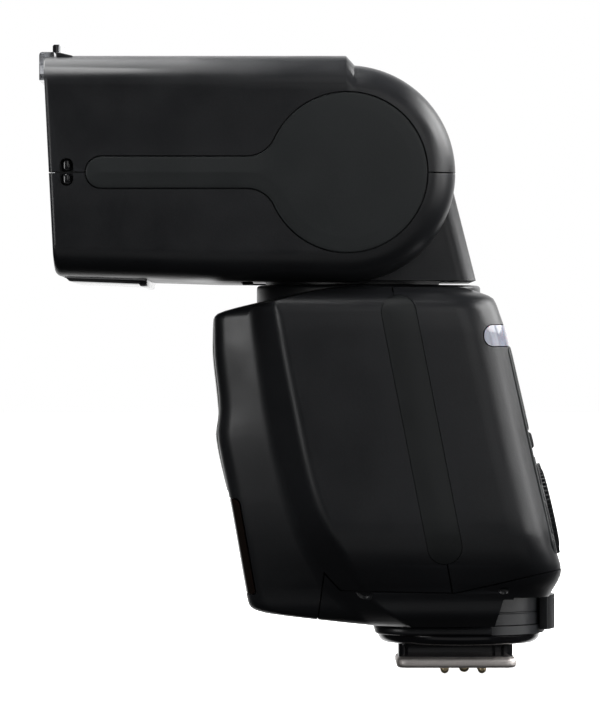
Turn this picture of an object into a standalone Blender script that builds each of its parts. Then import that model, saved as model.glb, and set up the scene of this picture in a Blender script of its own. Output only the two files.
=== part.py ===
"""Shoe-mount speedlight flash: body, swivel turret and tilting zoom head.

Frame: the shoe foot stands on the origin, +Z is up, the lamp head points along -Y and the
control panel faces +Y.  Every number below is in millimetres; the helpers turn them into metres.
"""
import math

import bmesh
import bpy
from mathutils import Matrix, Vector

MM = 0.001
GAP = 0.3            # space kept between touching pieces
WALL = 2.0           # wall of the moulded covers
OVER = 5.0           # how far a cutter runs past the surface it opens

# Accessory-shoe foot (the size of a standard shoe)
FOOT_WIDTH = 18.6
FOOT_FRONT = -11.2
FOOT_BACK = 11.1
FOOT_THICK = 2.0
BLOCK_HALF = 6.2
BLOCK_TOP = 4.5
COLLAR_R = 15.1
COLLAR_Y = 0.56
COLLAR_TOP = 6.1
FOOT_BASE_TOP = 8.0
PIN_R = 0.9
PIN_HOLE_R = 1.15
PIN_TIP = -1.3
PIN_PLACES = {
    "contact_pin_centre": (0.0, 1.6),
    "contact_pin_front_left": (-3.9, -2.15),
    "contact_pin_front_right": (3.9, -2.15),
    "contact_pin_rear_left": (-3.9, 4.8),
    "contact_pin_rear_right": (3.9, 4.8),
}
LOCK_PIN_PLACE = (0.0, -7.6)

# Body: front and back faces, half widths and the side ridge, each as (height, value)
BODY_FRONT = [(8.3, -15.8), (9.4, -27.0), (10.8, -36.6), (12.6, -38.7), (32.0, -42.1), (43.0, -44.3),
              (48.0, -43.9), (60.0, -44.9), (64.2, -44.9), (66.0, -43.0), (68.4, -34.3), (69.6, -29.9),
              (70.4, -27.0)]
BODY_BACK = [(8.3, 15.6), (12.6, 16.2), (14.8, 17.2), (17.0, 18.2), (19.6, 18.4), (62.3, 8.7),
             (65.5, 7.6), (68.4, 6.1), (69.6, 3.5), (70.4, 1.0)]
BODY_HALF = [(8.3, 22.0), (10.8, 25.0), (13.3, 26.0), (14.8, 27.0), (17.0, 29.2), (20.5, 31.8),
             (25.4, 33.7), (29.0, 34.0), (60.0, 34.0), (66.0, 33.0), (68.4, 31.0), (69.6, 29.0), (70.4, 27.0)]
BODY_NOSE = [(8.3, 17.0), (12.6, 19.5), (32.0, 23.5), (66.0, 24.5), (70.4, 22.0)]
BODY_RIDGE = [(8.3, -9.0), (14.8, -17.0), (25.4, -21.0), (32.0, -25.5), (46.3, -29.1), (70.4, -33.3)]
BODY_LEVELS = (8.3, 9.4, 10.8, 12.6, 14.8, 17.0, 18.2, 20.5, 25.4, 32.0, 37.5, 43.0, 48.0, 54.0, 60.0,
               64.2, 66.0, 68.4, 69.6, 70.4)
INNER_LEVELS = (12.0, 14.8, 17.0, 20.5, 32.0, 43.0, 48.0, 60.0, 64.2, 66.0, 67.0)
PARTING = [(-12.5, 70.7), (-1.5, 15.3)]        # side line where the front and rear shells meet
BASE_EDGE = [(-27.0, 0.0), (-24.6, 18.0), (-21.8, 15.0), (-0.7, 14.6), (14.9, 18.3), (30.0, 21.0),
             (30.0, 0.0)]                      # side view of the base cover's part

DOOR_HINGE = (-28.6, -11.2, 13.6)              # middle of the cell door's hinge pin
AF_OUTLINE = [(-60.0, 14.3), (-36.6, 14.3), (-39.3, 31.7), (-60.0, 31.7)]
AF_HALF = 17.5                                 # half width of the assist lamp's window
SENSOR_SPAN = (32.3, 65.6)                     # metering strip on the nose
SENSOR_LEVELS = (36.0, 40.0, 43.0, 48.0, 54.0, 60.0, 64.2)

# Back panel: a face that leans back from the bottom
PANEL_Y, PANEL_Z = 8.7, 62.3                   # top edge of the panel plane
PANEL_LEAN = math.atan2(9.7, 42.7)
DIAL_DOWN = 34.1                               # distance of the dial's centre down the panel
FUNCTION_KEYS = 4
KEY_PITCH = 12.0

# Swivel and tilt
SWIVEL_Y = -16.3
COLLAR_TOP_Z = 71.0
SWIVEL_R = 20.9
TUBE_R = 11.6
PIVOT_Y, PIVOT_Z = -20.6, 91.0
DRUM_R = 19.1
AXLE_R = 3.0
CHEEK_R = 19.7
TURRET_HALF = 23.8
SLOT_HALF = 24.3
TURRET_BOTTOM = 71.7

# Head
HEAD_HALF = 35.25
HEAD_TOP = 112.4
HEAD_FRONT_TOP, HEAD_FRONT_LOW = -75.5, -73.5
HEAD_LOW_FRONT, HEAD_LOW = 72.4, 71.5
HEAD_EDGE = 5.5
LENS_HALF = 29.2
LENS_LOW, LENS_HIGH = 76.4, 106.6
TRIM_DISC_R = 14.5
TRIM_ARM_HALF = 2.9
TRIM_ARM_TIP = -67.8
ZOOM_X, ZOOM_Z = 29.2, 80.0                    # lead screw at -X, guide rod at +X

MODEL = bpy.data.collections.new("speedlight_flash")
CUTTERS = bpy.data.collections.new("cutters")


# ---------------------------------------------------------------- helpers

def clear_scene():
    """Remove the objects the scene starts with, and link the two collections."""
    for item in list(bpy.data.objects):
        bpy.data.objects.remove(item, do_unlink=True)
    bpy.context.scene.collection.children.link(MODEL)
    bpy.context.scene.collection.children.link(CUTTERS)


def finish_look(name, colour, roughness, metallic=0.0, clear=0.0):
    """One Principled material; clear is its transmission."""
    look = bpy.data.materials.new(name)
    look.use_nodes = True
    shader = look.node_tree.nodes["Principled BSDF"]
    shader.inputs["Base Color"].default_value = (*colour, 1.0)
    shader.inputs["Roughness"].default_value = roughness
    shader.inputs["Metallic"].default_value = metallic
    shader.inputs["Transmission Weight"].default_value = clear
    look.diffuse_color = (*colour, 1.0)
    return look


BLACK_PLASTIC = finish_look("black_plastic", (0.016, 0.017, 0.019), 0.50)
TRIM_PLASTIC = finish_look("trim_plastic", (0.020, 0.025, 0.027), 0.42)
GLOSS_BLACK = finish_look("gloss_black", (0.010, 0.010, 0.011), 0.18)
BUTTON_RUBBER = finish_look("button_rubber", (0.022, 0.022, 0.023), 0.70)
FOOT_METAL = finish_look("foot_metal", (0.42, 0.42, 0.43), 0.30, 1.0)
STEEL = finish_look("steel", (0.45, 0.45, 0.46), 0.32, 1.0)
GOLD_CONTACT = finish_look("contact_metal", (0.75, 0.60, 0.30), 0.28, 1.0)
REFLECTOR_METAL = finish_look("reflector_metal", (0.85, 0.85, 0.86), 0.12, 1.0)
LENS_CLEAR = finish_look("lens_clear", (0.86, 0.88, 0.88), 0.12, 0.0, 0.8)
SENSOR_SMOKE = finish_look("sensor_smoke", (0.10, 0.09, 0.05), 0.15, 0.0, 0.3)
DARK_RED = finish_look("dark_red", (0.045, 0.004, 0.006), 0.10)
LAMP_WHITE = finish_look("lamp_window", (0.62, 0.60, 0.66), 0.35)
PANEL_WHITE = finish_look("panel_white", (0.80, 0.80, 0.78), 0.45)
LCD_GREEN = finish_look("lcd_glass", (0.30, 0.34, 0.30), 0.20)
BOARD_GREEN = finish_look("board_green", (0.03, 0.16, 0.07), 0.45)
CELL_SLEEVE = finish_look("cell_sleeve", (0.10, 0.16, 0.30), 0.35)
CAPACITOR_SLEEVE = finish_look("capacitor_sleeve", (0.03, 0.03, 0.05), 0.35)


def place(name, mesh, look, collection=MODEL):
    """Put a mesh into the scene as a named object."""
    piece = bpy.data.objects.new(name, mesh)
    collection.objects.link(piece)
    if look:
        mesh.materials.append(look)
    if collection is CUTTERS:
        piece.hide_render = True
        piece.display_type = "WIRE"
    return piece


def from_bmesh(name, shape, look, collection=MODEL):
    """Scale a bmesh in millimetres to metres and place it."""
    bmesh.ops.scale(shape, vec=(MM, MM, MM), verts=shape.verts)
    mesh = bpy.data.meshes.new(name)
    shape.to_mesh(mesh)
    shape.free()
    return place(name, mesh, look, collection)


def move_origin(piece, point):
    """Set the object's origin on its joint, leaving the shape where it is."""
    offset = Vector(point) * MM
    piece.data.transform(Matrix.Translation(-offset))
    piece.location = offset
    return piece


def along(profile, height):
    """Read a (height, value) profile, straight between its points."""
    for (z0, v0), (z1, v1) in zip(profile, profile[1:]):
        if height <= z1:
            share = max(0.0, (height - z0) / (z1 - z0))
            return v0 + (v1 - v0) * share
    return profile[-1][1]


def arc(centre, radius, start, end, steps):
    """Points of an arc; the angles are in degrees."""
    points = []
    for i in range(steps + 1):
        angle = math.radians(start + (end - start) * i / steps)
        points.append((centre[0] + radius * math.cos(angle), centre[1] + radius * math.sin(angle)))
    return points


def circle(centre, radius, steps=24):
    """A closed ring of points."""
    return arc(centre, radius, 0.0, 360.0 * (steps - 1) / steps, steps - 1)


def rounded(points, radii, steps=4):
    """Replace each corner of a polygon with a tangent arc of its own radius."""
    outline = []
    for i, corner in enumerate(points):
        radius = radii[i] if isinstance(radii, (list, tuple)) else radii
        here = Vector(corner)
        back = (Vector(points[i - 1]) - here).normalized()
        ahead = (Vector(points[(i + 1) % len(points)]) - here).normalized()
        half = back.angle(ahead) / 2
        reach = radius / math.tan(half)
        centre = here + (back + ahead).normalized() * radius / math.sin(half)
        start = here + back * reach - centre
        sweep = start.angle_signed(here + ahead * reach - centre)
        for k in range(steps + 1):
            spoke = start.copy()
            spoke.rotate(Matrix.Rotation(-sweep * k / steps, 2))
            outline.append(tuple(centre + spoke))
    return outline


def grown(points, distance):
    """Move every side of a polygon outwards by a distance."""
    area = sum(a[0] * b[1] - b[0] * a[1] for a, b in zip(points, points[1:] + points[:1]))
    side = math.copysign(distance, area)
    outline = []
    for i, corner in enumerate(points):
        before = (Vector(corner) - Vector(points[i - 1])).normalized()
        after = (Vector(points[(i + 1) % len(points)]) - Vector(corner)).normalized()
        normal = Vector((before.y + after.y, -before.x - after.x)).normalized()
        share = side / normal.dot(Vector((before.y, -before.x)))
        outline.append(tuple(Vector(corner) + normal * share))
    return outline


def slab(half_x, low_y, high_y, radius, steps=4):
    """A rectangle with round corners, centred on x = 0."""
    corners = [(-half_x, low_y), (half_x, low_y), (half_x, high_y), (-half_x, high_y)]
    return rounded(corners, radius, steps)


AXES = {
    "X": Matrix(((0, 0, 1, 0), (1, 0, 0, 0), (0, 1, 0, 0), (0, 0, 0, 1))),
    "Y": Matrix(((1, 0, 0, 0), (0, 0, -1, 0), (0, 1, 0, 0), (0, 0, 0, 1))),
    "Z": Matrix.Identity(4),
}


def prism(name, outline, axis, low, high, look=None, holes=(), collection=MODEL):
    """Extrude a flat outline: (y, z) along X, (x, z) along Y, (x, y) along Z."""
    curve = bpy.data.curves.new(name, "CURVE")
    curve.dimensions = "2D"
    curve.fill_mode = "BOTH"
    curve.extrude = abs(high - low) / 2 * MM
    for ring in (outline, *holes):
        spline = curve.splines.new("POLY")
        spline.points.add(len(ring) - 1)
        for point, (u, v) in zip(spline.points, ring):
            point.co = (u * MM, v * MM, 0.0, 1.0)
        spline.use_cyclic_u = True
    guide = bpy.data.objects.new(name, curve)
    CUTTERS.objects.link(guide)
    mesh = bpy.data.meshes.new_from_object(guide.evaluated_get(bpy.context.evaluated_depsgraph_get()))
    bpy.data.objects.remove(guide, do_unlink=True)
    shape = bmesh.new()
    shape.from_mesh(mesh)
    bpy.data.meshes.remove(mesh)
    bmesh.ops.remove_doubles(shape, verts=shape.verts, dist=0.00001)
    bmesh.ops.dissolve_limit(shape, angle_limit=0.01, verts=shape.verts, edges=shape.edges)
    middle = (low + high) / 2 * MM
    shift = Matrix.Translation((0.0, 0.0, -middle if axis == "Y" else middle))
    bmesh.ops.transform(shape, matrix=AXES[axis] @ shift, verts=shape.verts)
    bmesh.ops.recalc_face_normals(shape, faces=shape.faces)
    solid = bpy.data.meshes.new(name)
    shape.to_mesh(solid)
    shape.free()
    return place(name, solid, look, collection)


def box(name, low, high, look=None, collection=MODEL):
    """A block between two corners."""
    shape = bmesh.new()
    bmesh.ops.create_cube(shape, size=1.0)
    size = [h - l for l, h in zip(low, high)]
    middle = [(h + l) / 2 for l, h in zip(low, high)]
    bmesh.ops.scale(shape, vec=size, verts=shape.verts)
    bmesh.ops.translate(shape, vec=middle, verts=shape.verts)
    return from_bmesh(name, shape, look, collection)


def rod(name, centre, radius, axis, length, look=None, sides=24, tip=None, collection=MODEL):
    """A straight rod centred on a point; tip is the radius of its low end."""
    shape = bmesh.new()
    low = radius if tip is None else tip
    bmesh.ops.create_cone(shape, cap_ends=True, segments=sides, radius1=low, radius2=radius, depth=length)
    turn = {"X": Matrix.Rotation(math.pi / 2, 4, "Y"), "Y": Matrix.Rotation(-math.pi / 2, 4, "X"),
            "Z": Matrix.Identity(4)}[axis]
    bmesh.ops.transform(shape, matrix=Matrix.Translation(centre) @ turn, verts=shape.verts)
    return from_bmesh(name, shape, look, collection)


def turned(name, profile, look, sides=32, collection=MODEL):
    """Spin an (r, z) profile around Z; it runs down the outside and up the bore."""
    mesh = bpy.data.meshes.new(name)
    points = [(r * MM, 0.0, z * MM) for r, z in profile]
    last = len(points) - 1
    edges = [(i, i + 1) for i in range(last)]
    if profile[0][0] > 0 and profile[-1][0] > 0:
        edges.append((last, 0))
    mesh.from_pydata(points, edges, [])
    piece = place(name, mesh, look, collection)
    screw = piece.modifiers.new("turn", "SCREW")
    screw.axis = "Z"
    screw.steps = sides
    screw.render_steps = sides
    screw.use_merge_vertices = True
    screw.merge_threshold = 0.00001
    return piece


def loft(name, rings, look, collection=MODEL):
    """Skin a stack of rings that have equal point counts, and cap both ends."""
    shape = bmesh.new()
    levels = [[shape.verts.new(point) for point in ring] for ring in rings]
    count = len(rings[0])
    for lower, upper in zip(levels, levels[1:]):
        for i in range(count):
            j = (i + 1) % count
            shape.faces.new((lower[i], lower[j], upper[j], upper[i]))
    shape.faces.new(reversed(levels[0]))
    shape.faces.new(levels[-1])
    bmesh.ops.recalc_face_normals(shape, faces=shape.faces)
    return from_bmesh(name, shape, look, collection)


def boolean(piece, operation, *tools):
    """Cut, join or intersect a piece with solids from the cutters collection."""
    for tool in tools:
        step = piece.modifiers.new(f"{operation.lower()}_{tool.name}", "BOOLEAN")
        step.operation = operation
        step.solver = "EXACT"
        step.object = tool
    return piece


def cut(piece, *tools):
    return boolean(piece, "DIFFERENCE", *tools)


def keep(piece, *tools):
    return boolean(piece, "INTERSECT", *tools)


def join(piece, *tools):
    return boolean(piece, "UNION", *tools)


def bevel(piece, width, segments=2, angle=40.0):
    """Round the edges sharper than an angle."""
    step = piece.modifiers.new("edges", "BEVEL")
    step.width = width * MM
    step.segments = segments
    step.limit_method = "ANGLE"
    step.angle_limit = math.radians(angle)
    return piece


def bevel_rims(piece, width, segments, weigh):
    """Round the edges that weigh() gives a share of the width."""
    mesh = piece.data
    weights = mesh.attributes.new("bevel_weight_edge", "FLOAT", "EDGE")
    for edge in mesh.edges:
        ends = [mesh.vertices[i].co / MM for i in edge.vertices]
        weights.data[edge.index].value = weigh(*ends)
    step = piece.modifiers.new("rims", "BEVEL")
    step.width = width * MM
    step.segments = segments
    step.limit_method = "WEIGHT"
    return piece


def smooth(piece, angle=35.0):
    """Shade a round piece smooth, with its corners kept sharp."""
    piece.data.shade_smooth()
    piece.data.set_sharp_from_angle(angle=math.radians(angle))
    return piece


def tool_box(name, low, high):
    return box(name, low, high, collection=CUTTERS)


def tool_prism(name, outline, axis, low, high, holes=()):
    return prism(name, outline, axis, low, high, holes=holes, collection=CUTTERS)


def tool_rod(name, centre, radius, axis, length, sides=24):
    return rod(name, centre, radius, axis, length, sides=sides, collection=CUTTERS)


def panel_frame(distance, across=0.0, out=0.0):
    """Matrix of a spot on the back panel: distance down from its top edge, local +Z outwards."""
    lean_sin, lean_cos = math.sin(PANEL_LEAN), math.cos(PANEL_LEAN)
    down = Vector((0.0, lean_sin, -lean_cos))
    normal = Vector((0.0, lean_cos, lean_sin))
    spot = Vector((across, PANEL_Y, PANEL_Z)) + down * distance + normal * out
    turn = Matrix(((-1, 0, 0), (0, -lean_sin, lean_cos), (0, lean_cos, lean_sin))).to_4x4()
    return Matrix.Translation(spot) @ turn


def set_on_panel(piece, distance, across=0.0, out=0.0):
    """Seat a piece that was made flat at the origin on the back panel."""
    frame = panel_frame(distance, across, out)
    frame.translation *= MM
    piece.matrix_world = frame
    return piece


# ---------------------------------------------------------------- foot

def pin_holes(prefix, low, high):
    """Cutters for the five contact pins and the locking pin."""
    middle, length = (low + high) / 2, high - low + 2 * OVER
    tools = [tool_rod(f"{prefix}_{name}", (x, y, middle), PIN_HOLE_R, "Z", length, 16)
             for name, (x, y) in PIN_PLACES.items()]
    tools.append(tool_rod(f"{prefix}_lock_pin", (*LOCK_PIN_PLACE, middle), 1.3, "Z", length, 16))
    return tools


def lever_path(name):
    """The space that the lever's tab sweeps behind the foot."""
    centre = (0.0, COLLAR_Y)
    outline = arc(centre, 30.0, 20, 122, 10) + arc(centre, 16.2, 122, 20, 10)
    return tool_prism(name, outline, "Z", 6.0, 13.8)


def make_foot():
    tread = slab(FOOT_WIDTH / 2, FOOT_FRONT, FOOT_BACK, 2.2)
    plate = prism("foot_plate", tread, "Z", 0.0, FOOT_THICK, FOOT_METAL)
    cut(bevel(plate, 0.25, 1, 60.0), *pin_holes("plate_hole", 0.0, FOOT_THICK))
    rim = circle((0.0, COLLAR_Y), COLLAR_R, 40)
    collar = prism("foot_collar", rim, "Z", BLOCK_TOP, COLLAR_TOP, GLOSS_BLACK)
    stem = slab(BLOCK_HALF, -10.8, 10.5, 1.5)
    block = tool_prism("foot_block", stem, "Z", FOOT_THICK + GAP, BLOCK_TOP + 0.5)
    cut(join(bevel(collar, 0.4, 2), block), *pin_holes("collar_hole", FOOT_THICK, COLLAR_TOP))
    outline = rounded([(-15.6, -15.3), (15.6, -15.3), (15.6, 16.6), (-15.6, 16.6)], 7.5, 5)
    base = prism("foot_base", outline, "Z", COLLAR_TOP + GAP, FOOT_BASE_TOP, BLACK_PLASTIC)
    cut(base, lever_path("base_lever_path"), *pin_holes("base_hole", COLLAR_TOP, FOOT_BASE_TOP))


def make_contact_pins():
    """Sprung contacts with pointed tips, and the pin that drops into the camera's shoe."""
    top = FOOT_BASE_TOP - 0.1
    for name, (x, y) in PIN_PLACES.items():
        profile = [(0.0, top), (PIN_R, top), (PIN_R, -0.5), (0.35, PIN_TIP), (0.0, PIN_TIP)]
        pin = turned(name, profile, GOLD_CONTACT, 16)
        pin.location = (x * MM, y * MM, 0.0)
    profile = [(0.0, top), (1.0, top), (1.0, 0.7), (0.7, 0.4), (0.0, 0.4)]
    pin = turned("lock_pin", profile, STEEL, 16)
    pin.location = (LOCK_PIN_PLACE[0] * MM, LOCK_PIN_PLACE[1] * MM, 0.0)


def make_lock_lever():
    """A ring under the base cover with a ribbed tab that swings round the back of the foot."""
    centre = (0.0, COLLAR_Y)
    ring = prism("lock_lever", circle(centre, 15.3, 40), "Z", 8.3, 9.3, BLACK_PLASTIC,
                 holes=[circle(centre, 11.0, 32)])
    arm = tool_box("lever_arm", (-3.5, 14.5, 8.3), (3.5, 18.0, 9.3))
    spread = 26.0
    tab = arc(centre, 18.0, 90 - spread, 90 + spread, 8) + arc(centre, 16.5, 90 + spread, 90 - spread, 8)
    tab_tool = tool_prism("lever_tab", tab, "Z", 7.1, 13.4)
    join(ring, arm, tab_tool)
    move_origin(ring, (*centre, 8.8))


# ---------------------------------------------------------------- body

def body_ring(height, inset=0.0):
    """One level of the body, counter-clockwise seen from above."""
    front, back = along(BODY_FRONT, height) + inset, along(BODY_BACK, height) - inset
    half, nose = along(BODY_HALF, height) - inset, along(BODY_NOSE, height) - inset
    ridge = max(along(BODY_RIDGE, height), front - inset + 2.0)
    corners = [(nose, front), (half, ridge), (half - 0.8, back)]
    radii = [5.0, 3.0, 8.0]
    outline = [(-x, y) for x, y in reversed(corners)] + corners
    points = rounded(outline, list(reversed(radii)) + radii, 3)
    return [(x, y, height) for x, y in points]


def body_solid(name, look=None, collection=MODEL):
    return loft(name, [body_ring(height) for height in BODY_LEVELS], look, collection)


def body_hollow():
    return loft("body_hollow", [body_ring(height, WALL) for height in INNER_LEVELS], None, CUTTERS)


def side_of_parting(name, behind):
    """Everything on one side of the slanted parting plane between the two shells."""
    (y_top, z_top), (y_low, z_low) = PARTING
    slope = (y_low - y_top) / (z_low - z_top)
    high, low = 90.0, -10.0
    shift = GAP / 2 if behind else -GAP / 2
    line = [(y_top + slope * (z - z_top) + shift, z) for z in (low, high)]
    reach = -80.0 if behind else 60.0
    outline = [line[0], line[1], (reach, high), (reach, low)]
    return tool_prism(name, outline, "X", -60.0, 60.0)


def base_region(name, grow):
    """The space below the bulge that belongs to the base cover."""
    return tool_prism(name, grown(BASE_EDGE, grow), "X", -60.0, 60.0)


def panel_tool(name, half, top, bottom, depth_in, radius):
    """A straight-sided pocket into the back panel, between two distances from its top edge."""
    tool = prism(name, slab(half, -bottom, -top, radius, 3), "Z", -depth_in, 6.0, collection=CUTTERS)
    return set_on_panel(tool, 0.0)


def dial_tool(name):
    """The round opening that the dial sits in."""
    return set_on_panel(tool_rod(name, (0.0, 0.0, 0.0), 9.0, "Z", 12.0, 40), DIAL_DOWN)


def make_body():
    hollow = body_hollow()
    collar_seat = tool_rod("collar_seat", (0.0, SWIVEL_Y, 72.0), SWIVEL_R + GAP, "Z", 9.0, 48)
    tube_hole = tool_rod("tube_hole", (0.0, SWIVEL_Y, 66.0), TUBE_R + 2.6, "Z", 16.0, 32)
    doorway = rounded([(-27.5, 12.2), (5.0, 12.2), (5.0, 49.0), (-27.5, 49.0)], 2.0, 2)
    door_gap = tool_prism("door_opening", doorway, "X", -50.0, -22.0)
    seat_rings = [[(x, along(BODY_FRONT, z) + depth, z) for x, depth in slab(13.4, -9.0, 1.0, 0.5, 1)]
                  for z in (SENSOR_SPAN[0], *SENSOR_LEVELS, SENSOR_SPAN[1])]
    sensor_seat = loft("sensor_seat", seat_rings, None, CUTTERS)
    lamp_seat = tool_prism("af_lamp_seat", grown(AF_OUTLINE, GAP), "X", -AF_HALF - GAP, AF_HALF + GAP)
    front = body_solid("body_front_shell", BLACK_PLASTIC)
    cut(front, lamp_seat, sensor_seat, hollow, side_of_parting("front_limit", False),
        base_region("front_base_clear", GAP), collar_seat, tube_hole, door_gap)
    panel_seat = panel_tool("panel_seat", 27.8, 1.7, 41.8, 6.0, 3.0)
    link_seat = tool_box("link_lamp_seat", (28.2, 3.9, 59.4), (50.0, 12.0, 63.8))
    rear = body_solid("body_rear_shell", BLACK_PLASTIC)
    cut(rear, hollow, side_of_parting("rear_limit", True), base_region("rear_base_clear", GAP),
        collar_seat, tube_hole, door_gap, panel_seat, link_seat, dial_tool("rear_dial_hole"))
    make_base_cover()
    make_battery_door()
    make_body_windows()


def make_base_cover():
    """Narrow base under the bulge, open above, with a pocket for the locking ring."""
    cover = body_solid("base_cover", BLACK_PLASTIC)
    region = tool_prism("base_part", BASE_EDGE, "X", -60.0, 60.0)
    inside = loft("base_hollow", [body_ring(z, WALL) for z in (12.0, 14.8, 17.0, 20.5, 25.4)], None, CUTTERS)
    ring_seat = tool_rod("lever_ring_seat", (0.0, COLLAR_Y, 6.8), 16.4, "Z", 5.8, 40)
    cut(keep(cover, region), inside, ring_seat, lever_path("cover_lever_path"))


def make_battery_door():
    """The side wall over the cells, with its hinge along the lower edge and a sliding catch."""
    door = body_solid("battery_door", BLACK_PLASTIC)
    outline = rounded([(-27.2, 15.4), (4.7, 15.4), (4.7, 48.7), (-27.2, 48.7)], [0.6, 0.6, 1.7, 1.7], 2)
    blank = tool_prism("door_blank", outline, "X", -50.0, -26.0)
    inner = loft("door_inner", [body_ring(z, 1.8) for z in INNER_LEVELS], None, CUTTERS)
    catch_seat = tool_box("catch_seat", (-50.0, -17.0, 38.7), (-33.1, -5.4, 46.3))
    cut(keep(door, blank), inner, catch_seat, base_region("door_base_clear", 2 * GAP))
    move_origin(door, DOOR_HINGE)
    rod("battery_door_hinge_pin", DOOR_HINGE, 0.8, "Y", 26.0, STEEL, 16)
    catch = box("battery_door_catch", (-34.6, -16.7, 41.0), (-33.4, -5.7, 46.0), TRIM_PLASTIC)
    bevel(catch, 0.3, 1)


def make_body_windows():
    """The translucent windows and the metering strip on the nose and the rear corner."""
    strip = []
    low, high = SENSOR_SPAN
    for height in (low + GAP, *SENSOR_LEVELS, high - GAP):
        proud = 0.5 if low + 3 < height < high - 1.5 else 0.2
        y = along(BODY_FRONT, height)
        half = 12.2 + proud
        ring = [(-half, y + 0.7), (half, y + 0.7), (half, y - proud * 0.4), (half - 3, y - proud),
                (-half + 3, y - proud), (-half, y - proud * 0.4)]
        strip.append([(x, depth, height) for x, depth in ring])
    loft("sensor_window", strip, SENSOR_SMOKE)
    lamp = body_solid("af_assist_lens", DARK_RED)
    outline = tool_prism("af_lamp_part", AF_OUTLINE, "X", -AF_HALF, AF_HALF)
    heights = (12.0, 14.8, 17.0, 20.5, 32.0, 43.0)
    inside = loft("af_lamp_inside", [body_ring(z, WALL) for z in heights], None, CUTTERS)
    cut(keep(lamp, outline), inside)
    window = body_solid("link_lamp_window", LAMP_WHITE)
    part = tool_box("link_lamp_part", (28.5, 4.2, 59.7), (50.0, 12.0, 63.5))
    inside = loft("link_lamp_inside", [body_ring(z, 1.2) for z in (48.0, 60.0, 64.2, 66.0)], None, CUTTERS)
    cut(keep(window, part), inside)


# ---------------------------------------------------------------- control panel


def make_back_panel():
    """A moulded plate with the display opening, and holes for the keys, the dial and the switch."""
    plate = prism("back_panel", slab(27.5, -41.5, -2.0, 2.7, 3), "Z", -2.0, 0.0, TRIM_PLASTIC)
    set_on_panel(plate, 0.0)
    tools = [panel_tool("display_opening", 21.0, 4.0, 17.2, 8.0, 1.0)]
    for x, distance, half_x, half_v in key_places().values():
        tool = prism(f"hole_{x:.0f}_{distance:.0f}", slab(half_x + GAP, -half_v - GAP, half_v + GAP, 0.8, 2),
                     "Z", -8.0, 6.0, collection=CUTTERS)
        tools.append(set_on_panel(tool, distance, x))
    tools.append(dial_tool("dial_hole"))
    cut(plate, *tools)
    window = prism("lcd_window", slab(20.7, -16.9, -4.3, 0.8, 2), "Z", -1.4, -0.2, GLOSS_BLACK)
    set_on_panel(window, 0.0)
    module = prism("lcd_module", slab(20.0, -17.5, -3.7, 0.8, 2), "Z", -5.0, -2.3, LCD_GREEN)
    set_on_panel(module, 0.0)


def key_places():
    """Every key: place across, distance down the panel, and half sizes."""
    places = {}
    for i in range(FUNCTION_KEYS):
        x = (i - (FUNCTION_KEYS - 1) / 2) * KEY_PITCH
        places[f"function_button_{i + 1}"] = (-x, 20.4, 3.6, 1.5)
    places["mode_button"] = (16.5, 27.0, 3.2, 2.0)
    places["test_button"] = (16.5, 34.5, 2.6, 2.6)
    places["wireless_button"] = (-16.5, 27.0, 3.2, 2.0)
    return places


def make_controls():
    for name, (x, distance, half_x, half_v) in key_places().items():
        key = prism(name, slab(half_x, -half_v, half_v, 1.0, 3), "Z", -2.6, 0.7, BUTTON_RUBBER)
        set_on_panel(bevel(key, 0.3, 1), distance, x)
    teeth = []
    for i in range(36):
        angle = 2 * math.pi * i / 36
        for offset, radius in ((-0.05, 8.65), (0.05, 8.65), (0.07, 8.3), (0.105, 8.3)):
            teeth.append((radius * math.cos(angle + offset), radius * math.sin(angle + offset)))
    dial = prism("select_dial", teeth, "Z", -1.7, 2.1, BLACK_PLASTIC, holes=[circle((0, 0), 4.0, 28)])
    set_on_panel(dial, DIAL_DOWN)
    key = rod("set_button", (0.0, 0.0, -0.25), 3.7, "Z", 4.1, BUTTON_RUBBER, 28)
    set_on_panel(bevel(key, 0.4, 2), DIAL_DOWN)
    slot = prism("power_switch", slab(4.5, -1.9, 1.9, 0.9, 3), "Z", 0.3, 1.6, TRIM_PLASTIC)
    set_on_panel(bevel(slot, 0.3, 1), 36.0, -17.0)


# ---------------------------------------------------------------- inside the body

def make_cells():
    """Four AA cells that lie across the body, two over two."""
    cell_r, body_len, cap_len = 7.1, 49.0, 1.2
    for i in range(4):
        y, z = -18.5 + 15.0 * (i % 2), 25.7 + 14.9 * (i // 2)
        facing = 1 if (i + i // 2) % 2 == 0 else -1
        end = -cap_len - body_len
        profile = [(0.0, 0.0), (2.6, 0.0), (2.6, -cap_len), (cell_r - 0.5, -cap_len),
                   (cell_r, -cap_len - 0.5), (cell_r, end + 0.5), (cell_r - 0.5, end), (0.0, end)]
        cell = turned(f"battery_cell_{i + 1}", profile, CELL_SLEEVE, 24)
        half = (body_len + cap_len) / 2
        cell.matrix_world = (Matrix.Translation((half * facing * MM, y * MM, z * MM))
                             @ Matrix.Rotation(facing * math.pi / 2, 4, "Y"))


def make_electronics():
    """The contact strip, the main flash capacitor and the circuit board."""
    strip = box("cell_contact_strip", (25.8, -24.5, 20.0), (26.4, 2.5, 46.5), GOLD_CONTACT)
    bevel(strip, 0.15, 1)
    profile = [(0.0, 21.0), (7.2, 21.0), (7.9, 20.3), (7.9, -20.3), (7.2, -21.0), (0.0, -21.0)]
    can = turned("main_capacitor", profile, CAPACITOR_SLEEVE, 32)
    can.matrix_world = Matrix.Translation((0.0, -33.3 * MM, 55.5 * MM)) @ Matrix.Rotation(math.pi / 2, 4, "Y")
    board = prism("main_board", slab(27.0, -36.0, -3.0, 1.5, 2), "Z", -7.2, -5.8, BOARD_GREEN)
    set_on_panel(board, 0.0)


# ---------------------------------------------------------------- swivel and turret

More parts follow.
